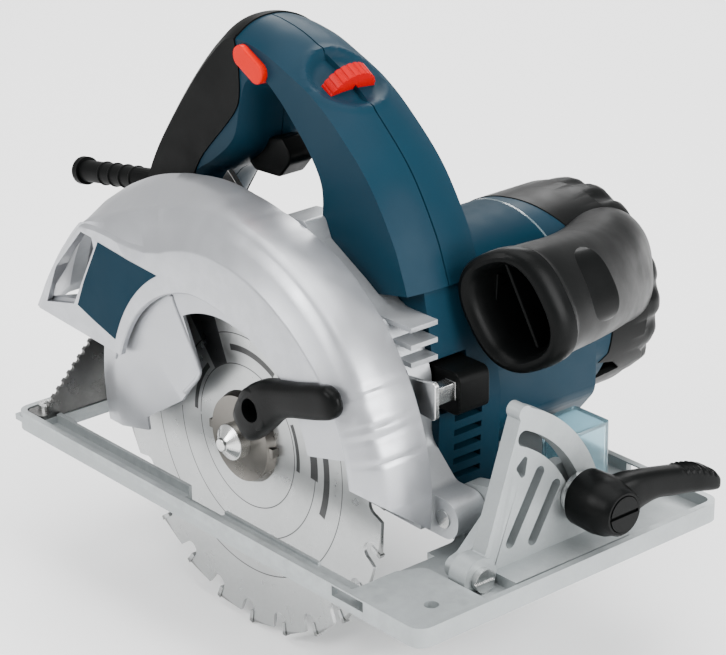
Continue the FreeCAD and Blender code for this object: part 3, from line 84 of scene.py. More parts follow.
class Finish:
    """A material made of nodes, built on object coordinates so that it rides with its piece."""

    def __init__(self, name, **fixed):
        self.material = bpy.data.materials.new(name)
        self.material.use_nodes = True
        self.tree = self.material.node_tree
        self.shader = self.tree.nodes["Principled BSDF"]
        self.place = self.add("ShaderNodeTexCoord").outputs["Object"]
        for socket, value in fixed.items():
            self.shader.inputs[socket.replace("_", " ")].default_value = value

    def add(self, kind, values=None, **settings):
        """A node with its settings, and its inputs given as numbers or linked sockets."""
        made = self.tree.nodes.new(kind)
        for setting, value in settings.items():
            setattr(made, setting, value)
        for key, value in (values or {}).items():
            if isinstance(value, bpy.types.NodeSocket):
                self.tree.links.new(value, made.inputs[key])
            else:
                made.inputs[key].default_value = value
        return made

    def set(self, socket, value):
        """Links a socket of the shader."""
        self.tree.links.new(value, self.shader.inputs[socket])

    def calc(self, operation, first, second=0.0, third=0.0):
        """One step of arithmetic."""
        return self.add("ShaderNodeMath", {0: first, 1: second, 2: third},
                        operation=operation).outputs[0]

    def noise(self, scale, detail=3.0, stretch=None):
        """Cloudy noise, with scale in features per metre."""
        place = self.place
        if stretch:
            place = self.add("ShaderNodeMapping", {"Vector": place, "Scale": stretch}).outputs[0]
        return self.add("ShaderNodeTexNoise", {"Vector": place, "Scale": scale,
                                               "Detail": detail}).outputs[0]

    def range(self, value, low, high, start=0.0, end=1.0, smooth=False):
        """Maps low..high on start..end."""
        kind = "SMOOTHSTEP" if smooth else "LINEAR"
        return self.add("ShaderNodeMapRange", {0: value, 1: low, 2: high, 3: start, 4: end},
                        interpolation_type=kind).outputs[0]

    def band(self, value, low, high, soft):
        """1 between low and high, 0 outside, with edges as wide as soft."""
        rising = self.range(value, low - soft, low + soft)
        falling = self.range(value, high - soft, high + soft, 1.0, 0.0)
        return self.calc("MULTIPLY", rising, falling)

    def mix(self, share, first, second):
        """A colour between two, by share."""
        made = self.add("ShaderNodeMix", data_type="RGBA")
        for key, value in ((0, share), (6, first), (7, second)):
            if isinstance(value, bpy.types.NodeSocket):
                self.tree.links.new(value, made.inputs[key])
            else:
                made.inputs[key].default_value = value
        return made.outputs[2]

    def bump(self, height, distance, below=None):
        """A bumped normal, distance in metres, on top of the bump below it."""
        made = self.add("ShaderNodeBump", {"Height": height, "Distance": distance,
                                           "Strength": 1.0})
        if below is not None:
            self.tree.links.new(below, made.inputs["Normal"])
        return made.outputs[0]

    def polar(self, centre):
        """Distance across and up from an axis along Y, and distance from the axis, in metres."""
        parts = self.add("ShaderNodeSeparateXYZ", {0: self.place})
        across = self.calc("SUBTRACT", parts.outputs[0], centre[0] * MM)
        up = self.calc("SUBTRACT", parts.outputs[2], centre[1] * MM)
        squares = self.calc("ADD", self.calc("MULTIPLY", across, across),
                            self.calc("MULTIPLY", up, up))
        return across, up, self.calc("SQRT", squares)

    def edges(self, low=0.52, high=0.60):
        """1 on sharp outer edges, 0 elsewhere."""
        bend = self.add("ShaderNodeNewGeometry").outputs["Pointiness"]
        return self.range(bend, low, high)


def surface(name, colour, roughness, metallic=0.0, spread=0.06, grain=900.0, depth=0.00002,
            wear=0.0, stretch=None, **fixed):
    """A cast, painted or moulded surface: cloudy colour, uneven gloss, fine grain, worn edges."""
    finish = Finish(name, Metallic=metallic, **fixed)
    cloud = finish.noise(30.0, 4.0)
    tone = finish.mix(finish.range(cloud, 0.3, 0.7), tinted(colour, 1 - spread),
                      tinted(colour, 1 + spread))
    fine = finish.noise(grain, 3.0, stretch)
    tone = finish.mix(finish.range(fine, 0.35, 0.75, 0.0, 0.35), tone, tinted(colour, 0.86))
    if wear:
        worn = finish.calc("MULTIPLY", finish.edges(), finish.range(finish.noise(160.0), 0.4, 0.6))
        tone = finish.mix(finish.calc("MULTIPLY", worn, wear), tone, tinted(colour, 1.35))
    finish.set("Base Color", tone)
    patch = finish.noise(85.0, 4.0)
    finish.set("Roughness", finish.range(patch, 0.25, 0.75, roughness - 0.06, roughness + 0.07))
    finish.set("Normal", finish.bump(fine, depth))
    return finish


# ripples per metre, times two pi, of turned steel and of the ground blade
TURNED_RINGS = 9000.0
GROUND_RINGS = 5200.0


def turned(name, colour, roughness, centre=ARBOR):
    """Steel turned on a lathe about an axis along Y: fine rings that catch the light."""
    finish = surface(name, colour, roughness, metallic=1.0, spread=0.05, depth=0.000004)
    _, _, distance = finish.polar(centre)
    rings = finish.calc("SINE", finish.calc("MULTIPLY", distance, TURNED_RINGS))
    finish.set("Normal", finish.bump(rings, 0.000006))
    return finish


def make_finishes():
    """One finish for each material slot of the record."""
    made = {
        "base_casting": surface("cast_aluminium", screen(150, 155, 156), 0.46, 0.6, 0.05,
                                620.0, 0.00006, wear=0.35),
        "guard_paint": surface("silver_paint", screen(166, 168, 172), 0.34, 0.72, 0.03, 2600.0,
                               0.000012, wear=0.2, Coat_Weight=0.15, Coat_Roughness=0.25),
        "case_casting": surface("case_paint", screen(168, 171, 174), 0.38, 0.66, 0.05, 900.0,
                                0.00005, wear=0.3),
        "dark_steel": surface("blackened_steel", screen(98, 98, 97), 0.28, 0.95, 0.12, 700.0,
                              0.00003, wear=0.6),
        "bright_steel": turned("bright_steel", screen(206, 207, 206), 0.22),
        "blade_steel": surface("blade_steel", screen(176, 178, 178), 0.3, 0.95, 0.05, 500.0,
                               0.00001),
        "spring_steel": surface("spring_steel", screen(128, 130, 132), 0.3, 1.0, 0.08, 700.0),
        "blue_housing": surface("blue_plastic", screen(16, 41, 54), 0.4, 0.0, 0.05, 1500.0,
                                0.00002, wear=0.12, Specular_IOR_Level=0.05),
        "black_housing": surface("black_plastic", screen(7, 8, 8), 0.36, 0.0, 0.1, 1300.0,
                                 0.00003, wear=0.25, Specular_IOR_Level=0.07),
        "grip_rubber": surface("black_rubber", screen(10, 11, 11), 0.5, 0.0, 0.12, 1400.0,
                               0.00003, Specular_IOR_Level=0.05),
        "red_plastic": surface("red_plastic", screen(168, 0, 8), 0.34, 0.0, 0.05, 1600.0,
                               Specular_IOR_Level=0.06),
        "button_plastic": surface("orange_plastic", screen(196, 10, 0), 0.36, 0.0, 0.05, 1600.0,
                                  Specular_IOR_Level=0.06),
        "label_film": surface("label_film", screen(0, 34, 48), 0.45, 0.0, 0.06, 1800.0, 0.000008,
                              Specular_IOR_Level=0.04),
        "clear_plastic": surface("clear_plastic", screen(190, 222, 232), 0.12, 0.0, 0.03, 300.0,
                                 0.000005, Transmission_Weight=0.85, IOR=1.49),
        "copper": surface("copper", screen(196, 118, 76), 0.32, 1.0, 0.1, 900.0),
        "laminations": surface("laminations", screen(96, 98, 102), 0.45, 0.9, 0.1, 900.0,
                               stretch=(1.0, 40.0, 1.0)),
        "carbon": surface("carbon", screen(26, 26, 28), 0.6, 0.1, 0.1, 1500.0),
    }
    return {slot: finish.material for slot, finish in made.items()}


FINISHES = make_finishes()


# ---------------------------------------------------------------- shaping tools

def smooth(mesh, angle=32.0):
    """Soft shading, with creases kept where faces meet at more than the angle."""
    mesh.shade_smooth()
    mesh.set_sharp_from_angle(angle=math.radians(angle))


def place(name, mesh, body, slot, replaces=(), material=None, angle=32.0):
    """Adds a finished mesh to the model as a piece that rides on a body."""
    smooth(mesh, angle)
    mesh.materials.clear()
    mesh.materials.append(material or FINISHES[slot])
    made = bpy.data.objects.new(name, mesh)
    bpy.context.scene.collection.objects.link(made)
    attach(made, body)
    if replaces:
        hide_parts(*replaces)
    return made


def rounded_edges(piece, width, segments=2, angle=28.0):
    """Breaks the sharp edges of a piece, as casting, moulding and deburring do."""
    bevel = piece.modifiers.new("edges", "BEVEL")
    bevel.width = width * MM
    bevel.segments = segments
    bevel.limit_method = "ANGLE"
    bevel.angle_limit = math.radians(angle)
    bevel.use_clamp_overlap = True
    bevel.harden_normals = True
    return piece


def softened(node, width=0.5, material=None, whole=True):
    """A copy of a CAD part with its sharp edges rounded, and its flats made whole if asked."""
    mesh = frame["nodes"][node].data.copy()
    shape = bmesh.new()
    shape.from_mesh(mesh)
    bmesh.ops.remove_doubles(shape, verts=shape.verts, dist=0.002 * MM)
    if whole:
        bmesh.ops.dissolve_limit(shape, angle_limit=math.radians(1.0), verts=shape.verts,
                                 edges=shape.edges)
    shape.to_mesh(mesh)
    shape.free()
    for layer in list(mesh.uv_layers):
        mesh.uv_layers.remove(layer)
    piece = place(node + "_shape", mesh, BODY_OF[node], SLOT_OF[node], [node], material)
    return rounded_edges(piece, width)


def flow(points, steps):
    """A smooth line through points of any dimension, with this many steps for each span."""
    line = []
    last = len(points) - 1
    for index in range(last):
        before, here = points[max(index - 1, 0)], points[index]
        there, after = points[index + 1], points[min(index + 2, last)]
        for step in range(steps):
            t = step / steps
            line.append(tuple(
                0.5 * (2 * b + (c - a) * t + (2 * a - 5 * b + 4 * c - d) * t * t
                       + (3 * b - a - 3 * c + d) * t ** 3)
                for a, b, c, d in zip(before, here, there, after)))
    line.append(tuple(points[-1]))
    return line


def skin(rings, shape=None, wrap=True, caps=True, loop=False):
    """Joins rings of points, in millimetres, into a surface, closed at its ends by caps."""
    shape = shape or bmesh.new()
    rows = [[shape.verts.new(Vector(point) * MM) for point in ring] for ring in rings]
    count = len(rows[0])
    pairs = list(zip(rows, rows[1:])) + ([(rows[-1], rows[0])] if loop else [])
    for first, second in pairs:
        for index in range(count if wrap else count - 1):
            after = (index + 1) % count
            shape.faces.new((first[index], first[after], second[after], second[index]))
    if caps and wrap and not loop:
        shape.faces.new(rows[0])
        shape.faces.new(rows[-1])
    return shape


def to_mesh(shape, name):
    """A mesh from a shape, with its faces turned outwards."""
    bmesh.ops.remove_doubles(shape, verts=shape.verts, dist=0.002 * MM)
    bmesh.ops.recalc_face_normals(shape, faces=shape.faces)
    mesh = bpy.data.meshes.new(name)
    shape.to_mesh(mesh)
    shape.free()
    return mesh


def oval(centre, across, up, depth, power=2.4, count=48):
    """A squarish oval ring round an axis along Y, at that depth."""
    ring = []
    for step in range(count):
        turn = 2 * math.pi * step / count
        side, rise = math.cos(turn), math.sin(turn)
        ring.append((centre[0] + math.copysign(abs(side) ** (2 / power), side) * across / 2, depth,
                     centre[1] + math.copysign(abs(rise) ** (2 / power), rise) * up / 2))
    return ring


def inside(point, outline):
    """Whether a point of the plane lies inside a closed outline."""
    found = False
    for (ax, az), (bx, bz) in zip(outline, outline[1:] + outline[:1]):
        if (az > point[1]) != (bz > point[1]):
            if point[0] < ax + (bx - ax) * (point[1] - az) / (bz - az):
                found = not found
    return found


def eased(value, low, high):
    """0 below low, 1 above high, and a soft slope between."""
    share = min(max((value - low) / (high - low), 0.0), 1.0)
    return share * share * (3 - 2 * share)


def table(points, value):
    """Reads a value off a table of (place, value), straight between its rows."""
    for (low, first), (high, second) in zip(points, points[1:]):
        if value <= high:
            share = min(max((value - low) / (high - low), 0.0), 1.0)
            return first + (second - first) * share
    return points[-1][1]


def carved(mesh, *cutters, operation="DIFFERENCE"):
    """The mesh with other closed meshes cut out of it or added to it."""
    body = bpy.data.objects.new("carved", mesh)
    bpy.context.scene.collection.objects.link(body)
    helpers = []
    for cutter in cutters:
        helper = bpy.data.objects.new("cutter", cutter)
        bpy.context.scene.collection.objects.link(helper)
        helpers.append(helper)
        step = body.modifiers.new("cut", "BOOLEAN")
        step.operation = operation
        step.object = helper
        step.solver = "EXACT"
    graph = bpy.context.evaluated_depsgraph_get()
    result = bpy.data.meshes.new_from_object(body.evaluated_get(graph))
    for helper in helpers + [body]:
        bpy.data.objects.remove(helper)
    return result


def slab(outline, low, high, axis="Y"):
    """A closed block: an outline in the plane across an axis, from low to high along it."""
    def spot(point, depth):
        first, second = point
        return {"X": (depth, first, second), "Y": (first, depth, second),
                "Z": (first, second, depth)}[axis]
    return skin([[spot(point, low) for point in outline], [spot(point, high) for point in outline]])


def arc(centre, radius, start, finish, steps=24):
    """Points along an arc, angles in degrees."""
    return [(centre[0] + radius * math.cos(math.radians(start + (finish - start) * step / steps)),
             centre[1] + radius * math.sin(math.radians(start + (finish - start) * step / steps)))
            for step in range(steps + 1)]


def circle(centre, radius, count):
    """Points round a whole circle."""
    return [(centre[0] + radius * math.cos(2 * math.pi * step / count),
             centre[1] + radius * math.sin(2 * math.pi * step / count)) for step in range(count)]


def clipped(shape, spot, away, keep=lambda vert: True):
    """Cuts off what lies past a plane, among the parts where keep is true, and closes the cut."""
    picked = [vert for vert in shape.verts if keep(vert.co / MM)]
    chosen = set(picked)
    edges = [edge for edge in shape.edges if all(vert in chosen for vert in edge.verts)]
    faces = [face for face in shape.faces if all(vert in chosen for vert in face.verts)]
    bmesh.ops.bisect_plane(shape, geom=picked + edges + faces, plane_co=Vector(spot) * MM,
                           plane_no=Vector(away).normalized(), dist=0.001 * MM, clear_outer=True)
    rim = [edge for edge in shape.edges if edge.is_boundary]
    bmesh.ops.holes_fill(shape, edges=rim)


# ---------------------------------------------------------------- upper guard

# by angle round the arbor in degrees, from the front tip over the top to the chip chute
WINDOW = ((-10, 91.5), (27, 91.5), (31, 88), (36, 74), (40, 67.6), (47, 66.2), (60, 65.2),
          (75, 65.4), (90, 67), (103, 69.5), (115, 70.6), (129, 72), (143, 73.6), (154, 74.5),
          (166, 75.5), (175, 76))
CREASE = ((-10, 93.4), (30, 92.8), (45, 90.8), (60, 89.8), (115, 90.2), (122, 93), (128, 99),
          (132, 105), (136, 113.5), (139, 120), (142, 126), (150, 129), (158, 133),
          (166.6, 138.5), (175, 146))
NEAR_RIM = ((-10, 104.3), (80, 104.3), (95, 106), (110, 108.5), (120, 111.5), (130, 117),
            (136, 121.5), (139, 124.5), (142, 127.5), (150, 130.5), (158, 134.5), (166.6, 140),
            (175, 147.5))
NEAR_DEPTH = ((-10, -9), (90, -9), (120, -8), (134, -11), (142, -15), (175, -15))
FAR_RIM = ((-10, 104), (75, 103.6), (86, 104.8), (96, 108), (105, 112.5), (115, 117.5),
           (124, 123.5), (134, 130.5), (142, 137), (149, 143), (156, 146), (164, 148.5),
           (175, 151))
GUARD_FACE, GUARD_BACK, GUARD_WALL = -17.5, 18.0, 3.0
FINGER_GROOVES = (31.0, 22.6, 19.8, 13.6)


def groove_depth(turn):
    """How deep the finger grooves across the front of the guard are at an angle."""
    lines = sum(0.9 * math.exp(-((turn - middle) / 0.55) ** 2) for middle in FINGER_GROOVES)
    pads = 0.9 * eased(turn, 12, 15) * (1 - eased(turn, 28, 31))
    return lines + pads * 0.5 * (1 - math.cos(math.radians((turn - 13.6) * 40)))


def guard_ring(turn):
    """One section across the guard: face, bevel and rim outside, and the wall's inner side."""
    window, crease = table(WINDOW, turn), table(CREASE, turn)
    near, far, depth = table(NEAR_RIM, turn), table(FAR_RIM, turn), table(NEAR_DEPTH, turn)
    sink = groove_depth(turn)
    swell = 1.6 + 1.2 * eased(turn, 95, 120)
    middle = (crease + near) / 2
    profile = [(window, GUARD_FACE + GUARD_WALL), (window, GUARD_FACE + 0.6),
               (window + 0.6, GUARD_FACE), (crease - 1.4, GUARD_FACE),
               (crease, GUARD_FACE + 0.5), (crease + 1.2, GUARD_FACE + 1.5),
               (middle + 0.9, (GUARD_FACE + depth) / 2 - 0.4 + sink * 0.5),
               (near - 1.6 - sink * 0.6, depth - 1.6), (near - sink, depth + 0.4),
               (near + 0.9 - sink, depth + 3.2), ((near + far) / 2 + swell - sink * 0.7, 3),
               (far + 0.9, 13), (far, GUARD_BACK - 0.8), (far - 0.8, GUARD_BACK),
               (far - GUARD_WALL, GUARD_BACK), (far - GUARD_WALL - 0.3, 4),
               (near - GUARD_WALL - 0.6, depth + 3),
               (min(crease, near - GUARD_WALL - 1) - 0.5, GUARD_FACE + GUARD_WALL)]
    angle = math.radians(turn)
    return [(ARBOR[0] + radius * math.cos(angle), across, ARBOR[1] + radius * math.sin(angle))
            for radius, across in profile]


def upper_guard():
    """Silver cast guard over the top of the blade, with the chip chute at its rear."""
    turns = [-9 + 0.75 * step for step in range(246)]
    shape = skin([guard_ring(turn) for turn in turns])
    clipped(shape, (93.7, GUARD_FACE, 41.4), (0, -0.735, -1), lambda spot: spot.x > 50)
    clipped(shape, (-73.2, 0, 51.3), (-0.057, 0, -1), lambda spot: spot.x < 0)
    outlet = slab([(-99, 104.5), (-90.5, 104), (-89, 99), (-108, 66), (-131, 60.5), (-121.5, 81)],
                  -30, -10)
    guard = carved(to_mesh(shape, "upper_guard"), to_mesh(outlet, "outlet"))
    piece = place("upper_guard_shape", guard, "saw", "guard_paint", ["upper_guard"], angle=26)
    rounded_edges(piece, 0.35, 2, 40)
    ledge = skin([[(-100, -14, 69), (-133, -13, 61.5), (-124, 8.5, 60), (-92, 8.5, 68)],
                  [(-101, -15.2, 65), (-134, -15, 58.5), (-124, 9, 57), (-92, 9, 64)]])
    back = slab([(-70, 112), (-82, 54), (-140, 54), (-126, 92), (-104, 110)], 8, 10)
    inner = carved(to_mesh(ledge, "ledge"), to_mesh(back, "back"), operation="UNION")
    place("chute_inside", inner, "saw", "guard_paint")


def guard_decal():
    """Blank film on the face of the chute."""
    edge = arc(ARBOR, 80.5, 120, 159.5, 20) + [(-92, 62.6), (-104.7, 66.6), (-98.5, 80)]
    edge += [(-85.3, 103.1), (-62, 101)]
    film = slab(edge, GUARD_FACE - 0.22, GUARD_FACE + 0.3)
    place("guard_decal", to_mesh(film, "guard_decal"), "saw", "label_film", ["guard_label"])


# ---------------------------------------------------------------- main handle

HANDLE_MIDDLE = 50.0
HANDLE_HALF = 21.0
# outer point, inner point (x, z), height of the crown and of the inner rounding, along the D
HANDLE_STATIONS = (
    (79, 112, 24, 100, 3.4, 3), (76, 120, 16, 120, 3.4, 3), (70, 134, 17, 133, 3.6, 3.5),
    (56, 156, 16, 146, 4, 4), (39, 173, 8, 157, 4.4, 5), (21, 187, -3, 168, 5, 5),
    (0, 197.5, -12, 176, 5.6, 5), (-21, 205, -20, 181, 6.5, 5), (-44, 206.5, -28, 177, 8, 6),
    (-61, 195, -31, 166, 9, 7), (-79, 176, -35, 149, 9.5, 8), (-95, 156, -50, 136, 10, 8),
    (-108, 137, -64, 128, 10, 8), (-116, 120, -76, 114, 9, 7), (-120, 105, -84, 102, 8, 6),
    (-114, 87, -80, 98, 6, 5), (-92, 80.5, -66, 97.5, 4, 4), (-40, 82, -40, 97.5, 3, 3),
    (0, 86, 0, 101, 3, 3), (22, 90, 16, 110, 3, 3),
)
DIAL_SPOT = Vector((13, HANDLE_MIDDLE, 189))
RUBBER_ZONE = [(-40, 225), (-38, 199), (-36, 186), (-36, 174), (-39, 167), (-47, 158), (-58, 147),
               (-67, 137), (-76, 122), (-94, 97), (-140, 107), (-150, 225)]


def dished(spot, outward):
    """Sinks the crown of the handle round the speed dial, with a slightly raised rim."""
    gap = (spot - DIAL_SPOT).length
    sink = 3.2 * (1 - eased(gap, 13.5, 18.5)) - 0.6 * eased(gap, 17, 19) * (1 - eased(gap, 19, 22))
    return spot - outward * sink


def handle_ring(station, sides, proud=0.0, groove=0.4):
    """One section of the handle: a crowned back, flat flanks and a rounded inner side."""
    ox, oz, ix, iz, crown, hollow = station
    outer, inner = Vector((ox, 0, oz)), Vector((ix, 0, iz))
    deep = (outer - inner).length
    outward = (outer - inner) / deep
    steps = 12
    half = []
    for step in range(steps + 1):
        side = step / steps
        half.append((max(side, groove / HANDLE_HALF), deep - crown * side ** 2.2 + proud, True))
    half.append((1.0 - 0.02, (deep - crown + hollow) / 2, False))
    for step in range(steps + 1):
        side = 1 - step / steps
        half.append((max(side, groove / HANDLE_HALF), hollow * side ** 4 - proud, False))
    ring = []
    for sign in sides:
        part = []
        for side, rise, back in half:
            spot = inner + outward * rise
            spot.y = HANDLE_MIDDLE + sign * side * (HANDLE_HALF + proud)
            part.append(dished(spot, outward) if back and not proud else spot)
        if len(sides) == 1:
            for share in (deep - 0.7, 0.7):
                spot = inner + outward * share
                spot.y = HANDLE_MIDDLE + sign * 0.05
                part.insert(0 if share > 1 else len(part), spot)
        ring += part if sign == sides[0] else part[::-1]
    return ring


def main_handle():
    """The two halves of the D handle, with the rubber skin on its grip."""
    stations = flow(HANDLE_STATIONS, 14)
    for name, sign in (("handle_right_shell", -1), ("handle_left_shell", 1)):
        shape = skin([handle_ring(station, (sign,)) for station in stations])
        place(name + "_shape", to_mesh(shape, name), "saw", "blue_housing", [name], angle=30)
    grip = flow(HANDLE_STATIONS[6:16], 14)
    shape = skin([handle_ring(station, (-1, 1), 0.7, 0.0) for station in grip], caps=False)
    bmesh.ops.remove_doubles(shape, verts=shape.verts, dist=0.01 * MM)
    edge = flow(RUBBER_ZONE[1:-2], 3)
    for (ax, az), (bx, bz) in zip(edge, edge[1:]):
        bmesh.ops.bisect_plane(shape, geom=list(shape.verts) + list(shape.edges)
                               + list(shape.faces), plane_co=Vector((ax, 0, az)) * MM,
                               plane_no=Vector((bz - az, 0, ax - bx)).normalized(),
                               dist=0.001 * MM)
    zone = [RUBBER_ZONE[0]] + [tuple(point) for point in edge] + RUBBER_ZONE[-2:]
    loose = []
    for face in shape.faces:
        middle = face.calc_center_median() / MM
        if not inside((middle.x, middle.z), zone):
            loose.append(face)
    bmesh.ops.delete(shape, geom=loose, context="FACES")
    rubber = place("grip_rubber", to_mesh(shape, "grip_rubber"), "saw", "grip_rubber",
                   ["grip_cover"], angle=40)
    wall = rubber.modifiers.new("thickness", "SOLIDIFY")
    wall.thickness = 1.4 * MM
    wall.offset = -1.0
    rounded_edges(rubber, 0.35, 2, 50)


# ---------------------------------------------------------------- motor and front handle

MOTOR = (27.0, 66.0)
DRUM = 50.0
CAP_END = 190
# where the black cap starts along Y, by angle round the motor from the front of the saw
CAP_EDGE = ((-180, 148), (-110, 148), (-75, 146), (-50, 147), (-40, 149), (-36, 166), (-27, 158),
            (-24, 147), (-19, 152), (-5, 152), (20, 151), (45, 147), (70, 141), (95, 136),
            (125, 134), (180, 148))


def cap_start(turn):
    """Y of the cap's front edge at an angle round the motor, in degrees."""
    return table(CAP_EDGE, turn)


def motor_ring(radius, depth, turns, scallop=0.0):
    """A ring round the motor axis; depth is a number or a function of the angle."""
    ring = []
    for turn in turns:
        angle = math.radians(turn)
        reach = radius - scallop * abs(math.sin(angle * 9)) ** 4
        along = depth(turn) if callable(depth) else depth
        ring.append((MOTOR[0] + reach * math.cos(angle), along, MOTOR[1] + reach * math.sin(angle)))
    return ring


def motor_cap():
    """Black cap over the brushes, with a toothed front edge and scalloped vents round its end."""
    turns = [step * 1.25 - 180 for step in range(288)]
    rows = [motor_ring(DRUM - 2.2, lambda turn: cap_start(turn) + 0.2, turns),
            motor_ring(DRUM - 0.2, lambda turn: cap_start(turn) + 0.1, turns),
            motor_ring(DRUM + 0.4, lambda turn: cap_start(turn) + 0.7, turns)]
    for share, radius, scallop in ((0.35, 50.4, 0), (0.6, 50.4, 0), (0.62, 50.3, 1.2),
                                   (0.72, 50.0, 2.2), (0.82, 49.2, 2.6), (0.9, 47.4, 2.2),
                                   (0.96, 44.4, 1.0), (0.99, 40.5, 0), (1.0, 36, 0)):
        rows.append(motor_ring(radius, lambda turn: cap_start(turn) + share
                               * (CAP_END - cap_start(turn)), turns, scallop))
    for radius, depth in ((34, -1.4), (12, -1.8), (11, -0.6), (1, -0.4)):
        rows.append(motor_ring(radius, CAP_END + depth, turns))
    place("motor_cap_shape", to_mesh(skin(rows), "motor_cap"), "saw", "black_housing",
          ["motor_cap"])


def leaning(centre, across, up, depth, lean, yaw, power=2.4, count=64):
    """A squarish oval ring whose top leans back and whose plane is turned to the front."""
    ring = []
    for x, _, z in oval((0, 0), across, up, 0, power, count):
        side = x * math.cos(math.radians(lean)) - z * math.sin(math.radians(lean))
        rise = x * math.sin(math.radians(lean)) + z * math.cos(math.radians(lean))
        ring.append((centre[0] + side * math.cos(math.radians(yaw)),
                     depth + side * math.sin(math.radians(yaw)), centre[1] + rise))
    return ring


MOUTH = (106, 105)
MOUTH_LEAN, MOUTH_TURN = 28, 21
# Y, centre (x, z), width, height, lean of the top and turn of the section, along the handle
GRIP_BODY = ((186, 46, 80, 44, 46, 6, 4), (176, 52, 82, 48, 54, 10, 8), (162, 62, 86, 46, 54, 14, 12),
             (146, 72, 89.5, 44, 51, 18, 16), (126, 83, 94, 43, 50.5, 22, 18),
             (104, 93.5, 99, 42.5, 51, 25, 20), (84, 101, 103, 42, 52, 27, 21),
             (72, 104.6, 104.6, 42, 53, 28, 21))
# Y, width and height of the rounded lip and the hollow inside it
GRIP_MOUTH = ((69.4, 42.2, 53.4), (68.6, 43.4, 54.6), (65, 44.6, 55.6), (61.6, 44, 55),
              (59.4, 41.6, 52.6), (58.4, 38, 49), (58.6, 34.6, 45.6), (60, 32, 43),
              (62.4, 30.6, 41.4), (66, 30, 40.6), (84, 28.6, 38.4), (106, 26, 35))


def front_handle():
    """Hollow oval front handle that grows out of the motor cap."""
    rows = [leaning((x, z), across, up, depth, lean, yaw)
            for depth, x, z, across, up, lean, yaw in flow(GRIP_BODY, 6)]
    rows += [leaning(MOUTH, across, up, depth, MOUTH_LEAN, MOUTH_TURN, 2.6)
             for depth, across, up in GRIP_MOUTH]
    place("front_handle_shape", to_mesh(skin(rows), "front_handle"), "saw", "black_housing",
          ["front_handle"])
    rib = bmesh.new()
    skin([[(97.4, 64, 124), (99, 64.6, 124), (113.8, 70, 88), (112.2, 69.4, 88)],
          [(97.4, 104, 118), (99, 104.6, 118), (111.8, 110, 90), (110.2, 109.4, 90)]], rib)
    skin([[(72, 66, 90), (90, 66, 86), (92, 66, 117), (78, 66, 115)],
          [(72, 92, 90), (86, 92, 86), (86, 92, 113), (74, 92, 112)]], rib)
    web = place("front_handle_web", to_mesh(rib, "front_handle_web"), "saw", "black_housing")
    rounded_edges(web, 0.6, 3)


# ---------------------------------------------------------------- blade, flange and lever

# inner and outer radius, first and last angle of each printed mark on the blade
PRINTED_ARCS = ((34, 66, 112, 130), (35.2, 37.6, -8, 27), (45, 50, -6, 26), (36, 38.5, 135, 178),
                (33.6, 34.1, -179, 179), (48, 48.5, -179, 179), (66.2, 66.7, -179, 179),
                (40, 43, 60, 104), (54, 58, -22, 12))
TIP_START = 92.2


def print_finish():
    """Satin saw blade with dark printed arcs and a wedge, darker tips and brushed rings."""
    finish = surface("blade_print", screen(170, 172, 172), 0.3, metallic=0.95, spread=0.05,
                     grain=500.0, depth=0.000008)
    across, up, reach = finish.polar(ARBOR)
    turn = finish.calc("MULTIPLY", finish.calc("ARCTAN2", up, across), 180 / math.pi)
    shares = []
    for low, high, start, end in PRINTED_ARCS:
        ring = finish.band(reach, low * MM, high * MM, 0.12 * MM)
        shares.append(finish.calc("MULTIPLY", ring, finish.band(turn, start, end, 0.3)))
    ink = shares[0]
    for share in shares[1:]:
        ink = finish.calc("MAXIMUM", ink, share)
    steel = finish.shader.inputs["Base Color"].links[0].from_socket
    tips = finish.range(reach, TIP_START * MM, (TIP_START + 0.8) * MM)
    tone = finish.mix(finish.calc("MULTIPLY", tips, 0.55), steel, screen(70, 70, 68))
    finish.set("Base Color", finish.mix(ink, tone, screen(16, 17, 18)))
    finish.set("Metallic", finish.calc("SUBTRACT", 0.95, finish.calc("MULTIPLY", ink, 0.85)))
    lines = finish.calc("SINE", finish.calc("MULTIPLY", reach, GROUND_RINGS))
    finish.set("Normal", finish.bump(lines, 0.0000035))
    return finish.material


LEVER_BOSS = (33.5, 61)
LEVER_BORE = 5.4


def guard_lever():
    """Black lever that lifts the lower guard: a bored boss, an arm and a flat paddle."""
    arm = ((24, -17.5, 50, 17, 13), (27, -18, 53, 19, 13.5), (33, -18, 60, 21.5, 13.5),
           (40, -18, 65.6, 20, 13), (48, -18, 69.4, 17, 12.4), (56, -18.4, 72, 15.6, 11.6),
           (64, -19, 74.2, 15.4, 10.6), (74, -19.6, 77.2, 15.6, 9.4), (83, -20, 80, 14.4, 8.4),
           (87, -20, 81.4, 9, 6), (88.6, -20, 82, 3, 2))
    rows = []
    line = flow(arm, 6)
    for index, (x, y, z, up, deep) in enumerate(line):
        after, before = line[min(index + 1, len(line) - 1)], line[max(index - 1, 0)]
        slope = math.atan2(after[2] - before[2], after[0] - before[0])
        ring = []
        for side, _, rise in oval((0, 0), deep, up, 0, 3.0, 32):
            ring.append((x - rise * math.sin(slope), y + side, z + rise * math.cos(slope)))
        rows.append(ring)
    arm_mesh = to_mesh(skin(rows), "lever_arm")
    boss = skin([[(x, depth, z) for x, z in circle(LEVER_BOSS, radius, 48)]
                 for radius, depth in ((9.2, -14), (9.8, -17), (9.8, -22.4), (9.2, -23.6),
                                       (8.4, -24))])
    bore = slab(circle(LEVER_BOSS, LEVER_BORE, 40), -40, -18)
    joined = carved(arm_mesh, to_mesh(boss, "lever_boss"), operation="UNION")
    lever = carved(joined, to_mesh(bore, "lever_bore"))
    piece = place("guard_lever_shape", lever, BODY_OF["guard_lever"], "black_housing",
                  ["guard_lever"], angle=35)
    rounded_edges(piece, 0.4, 2, 45)


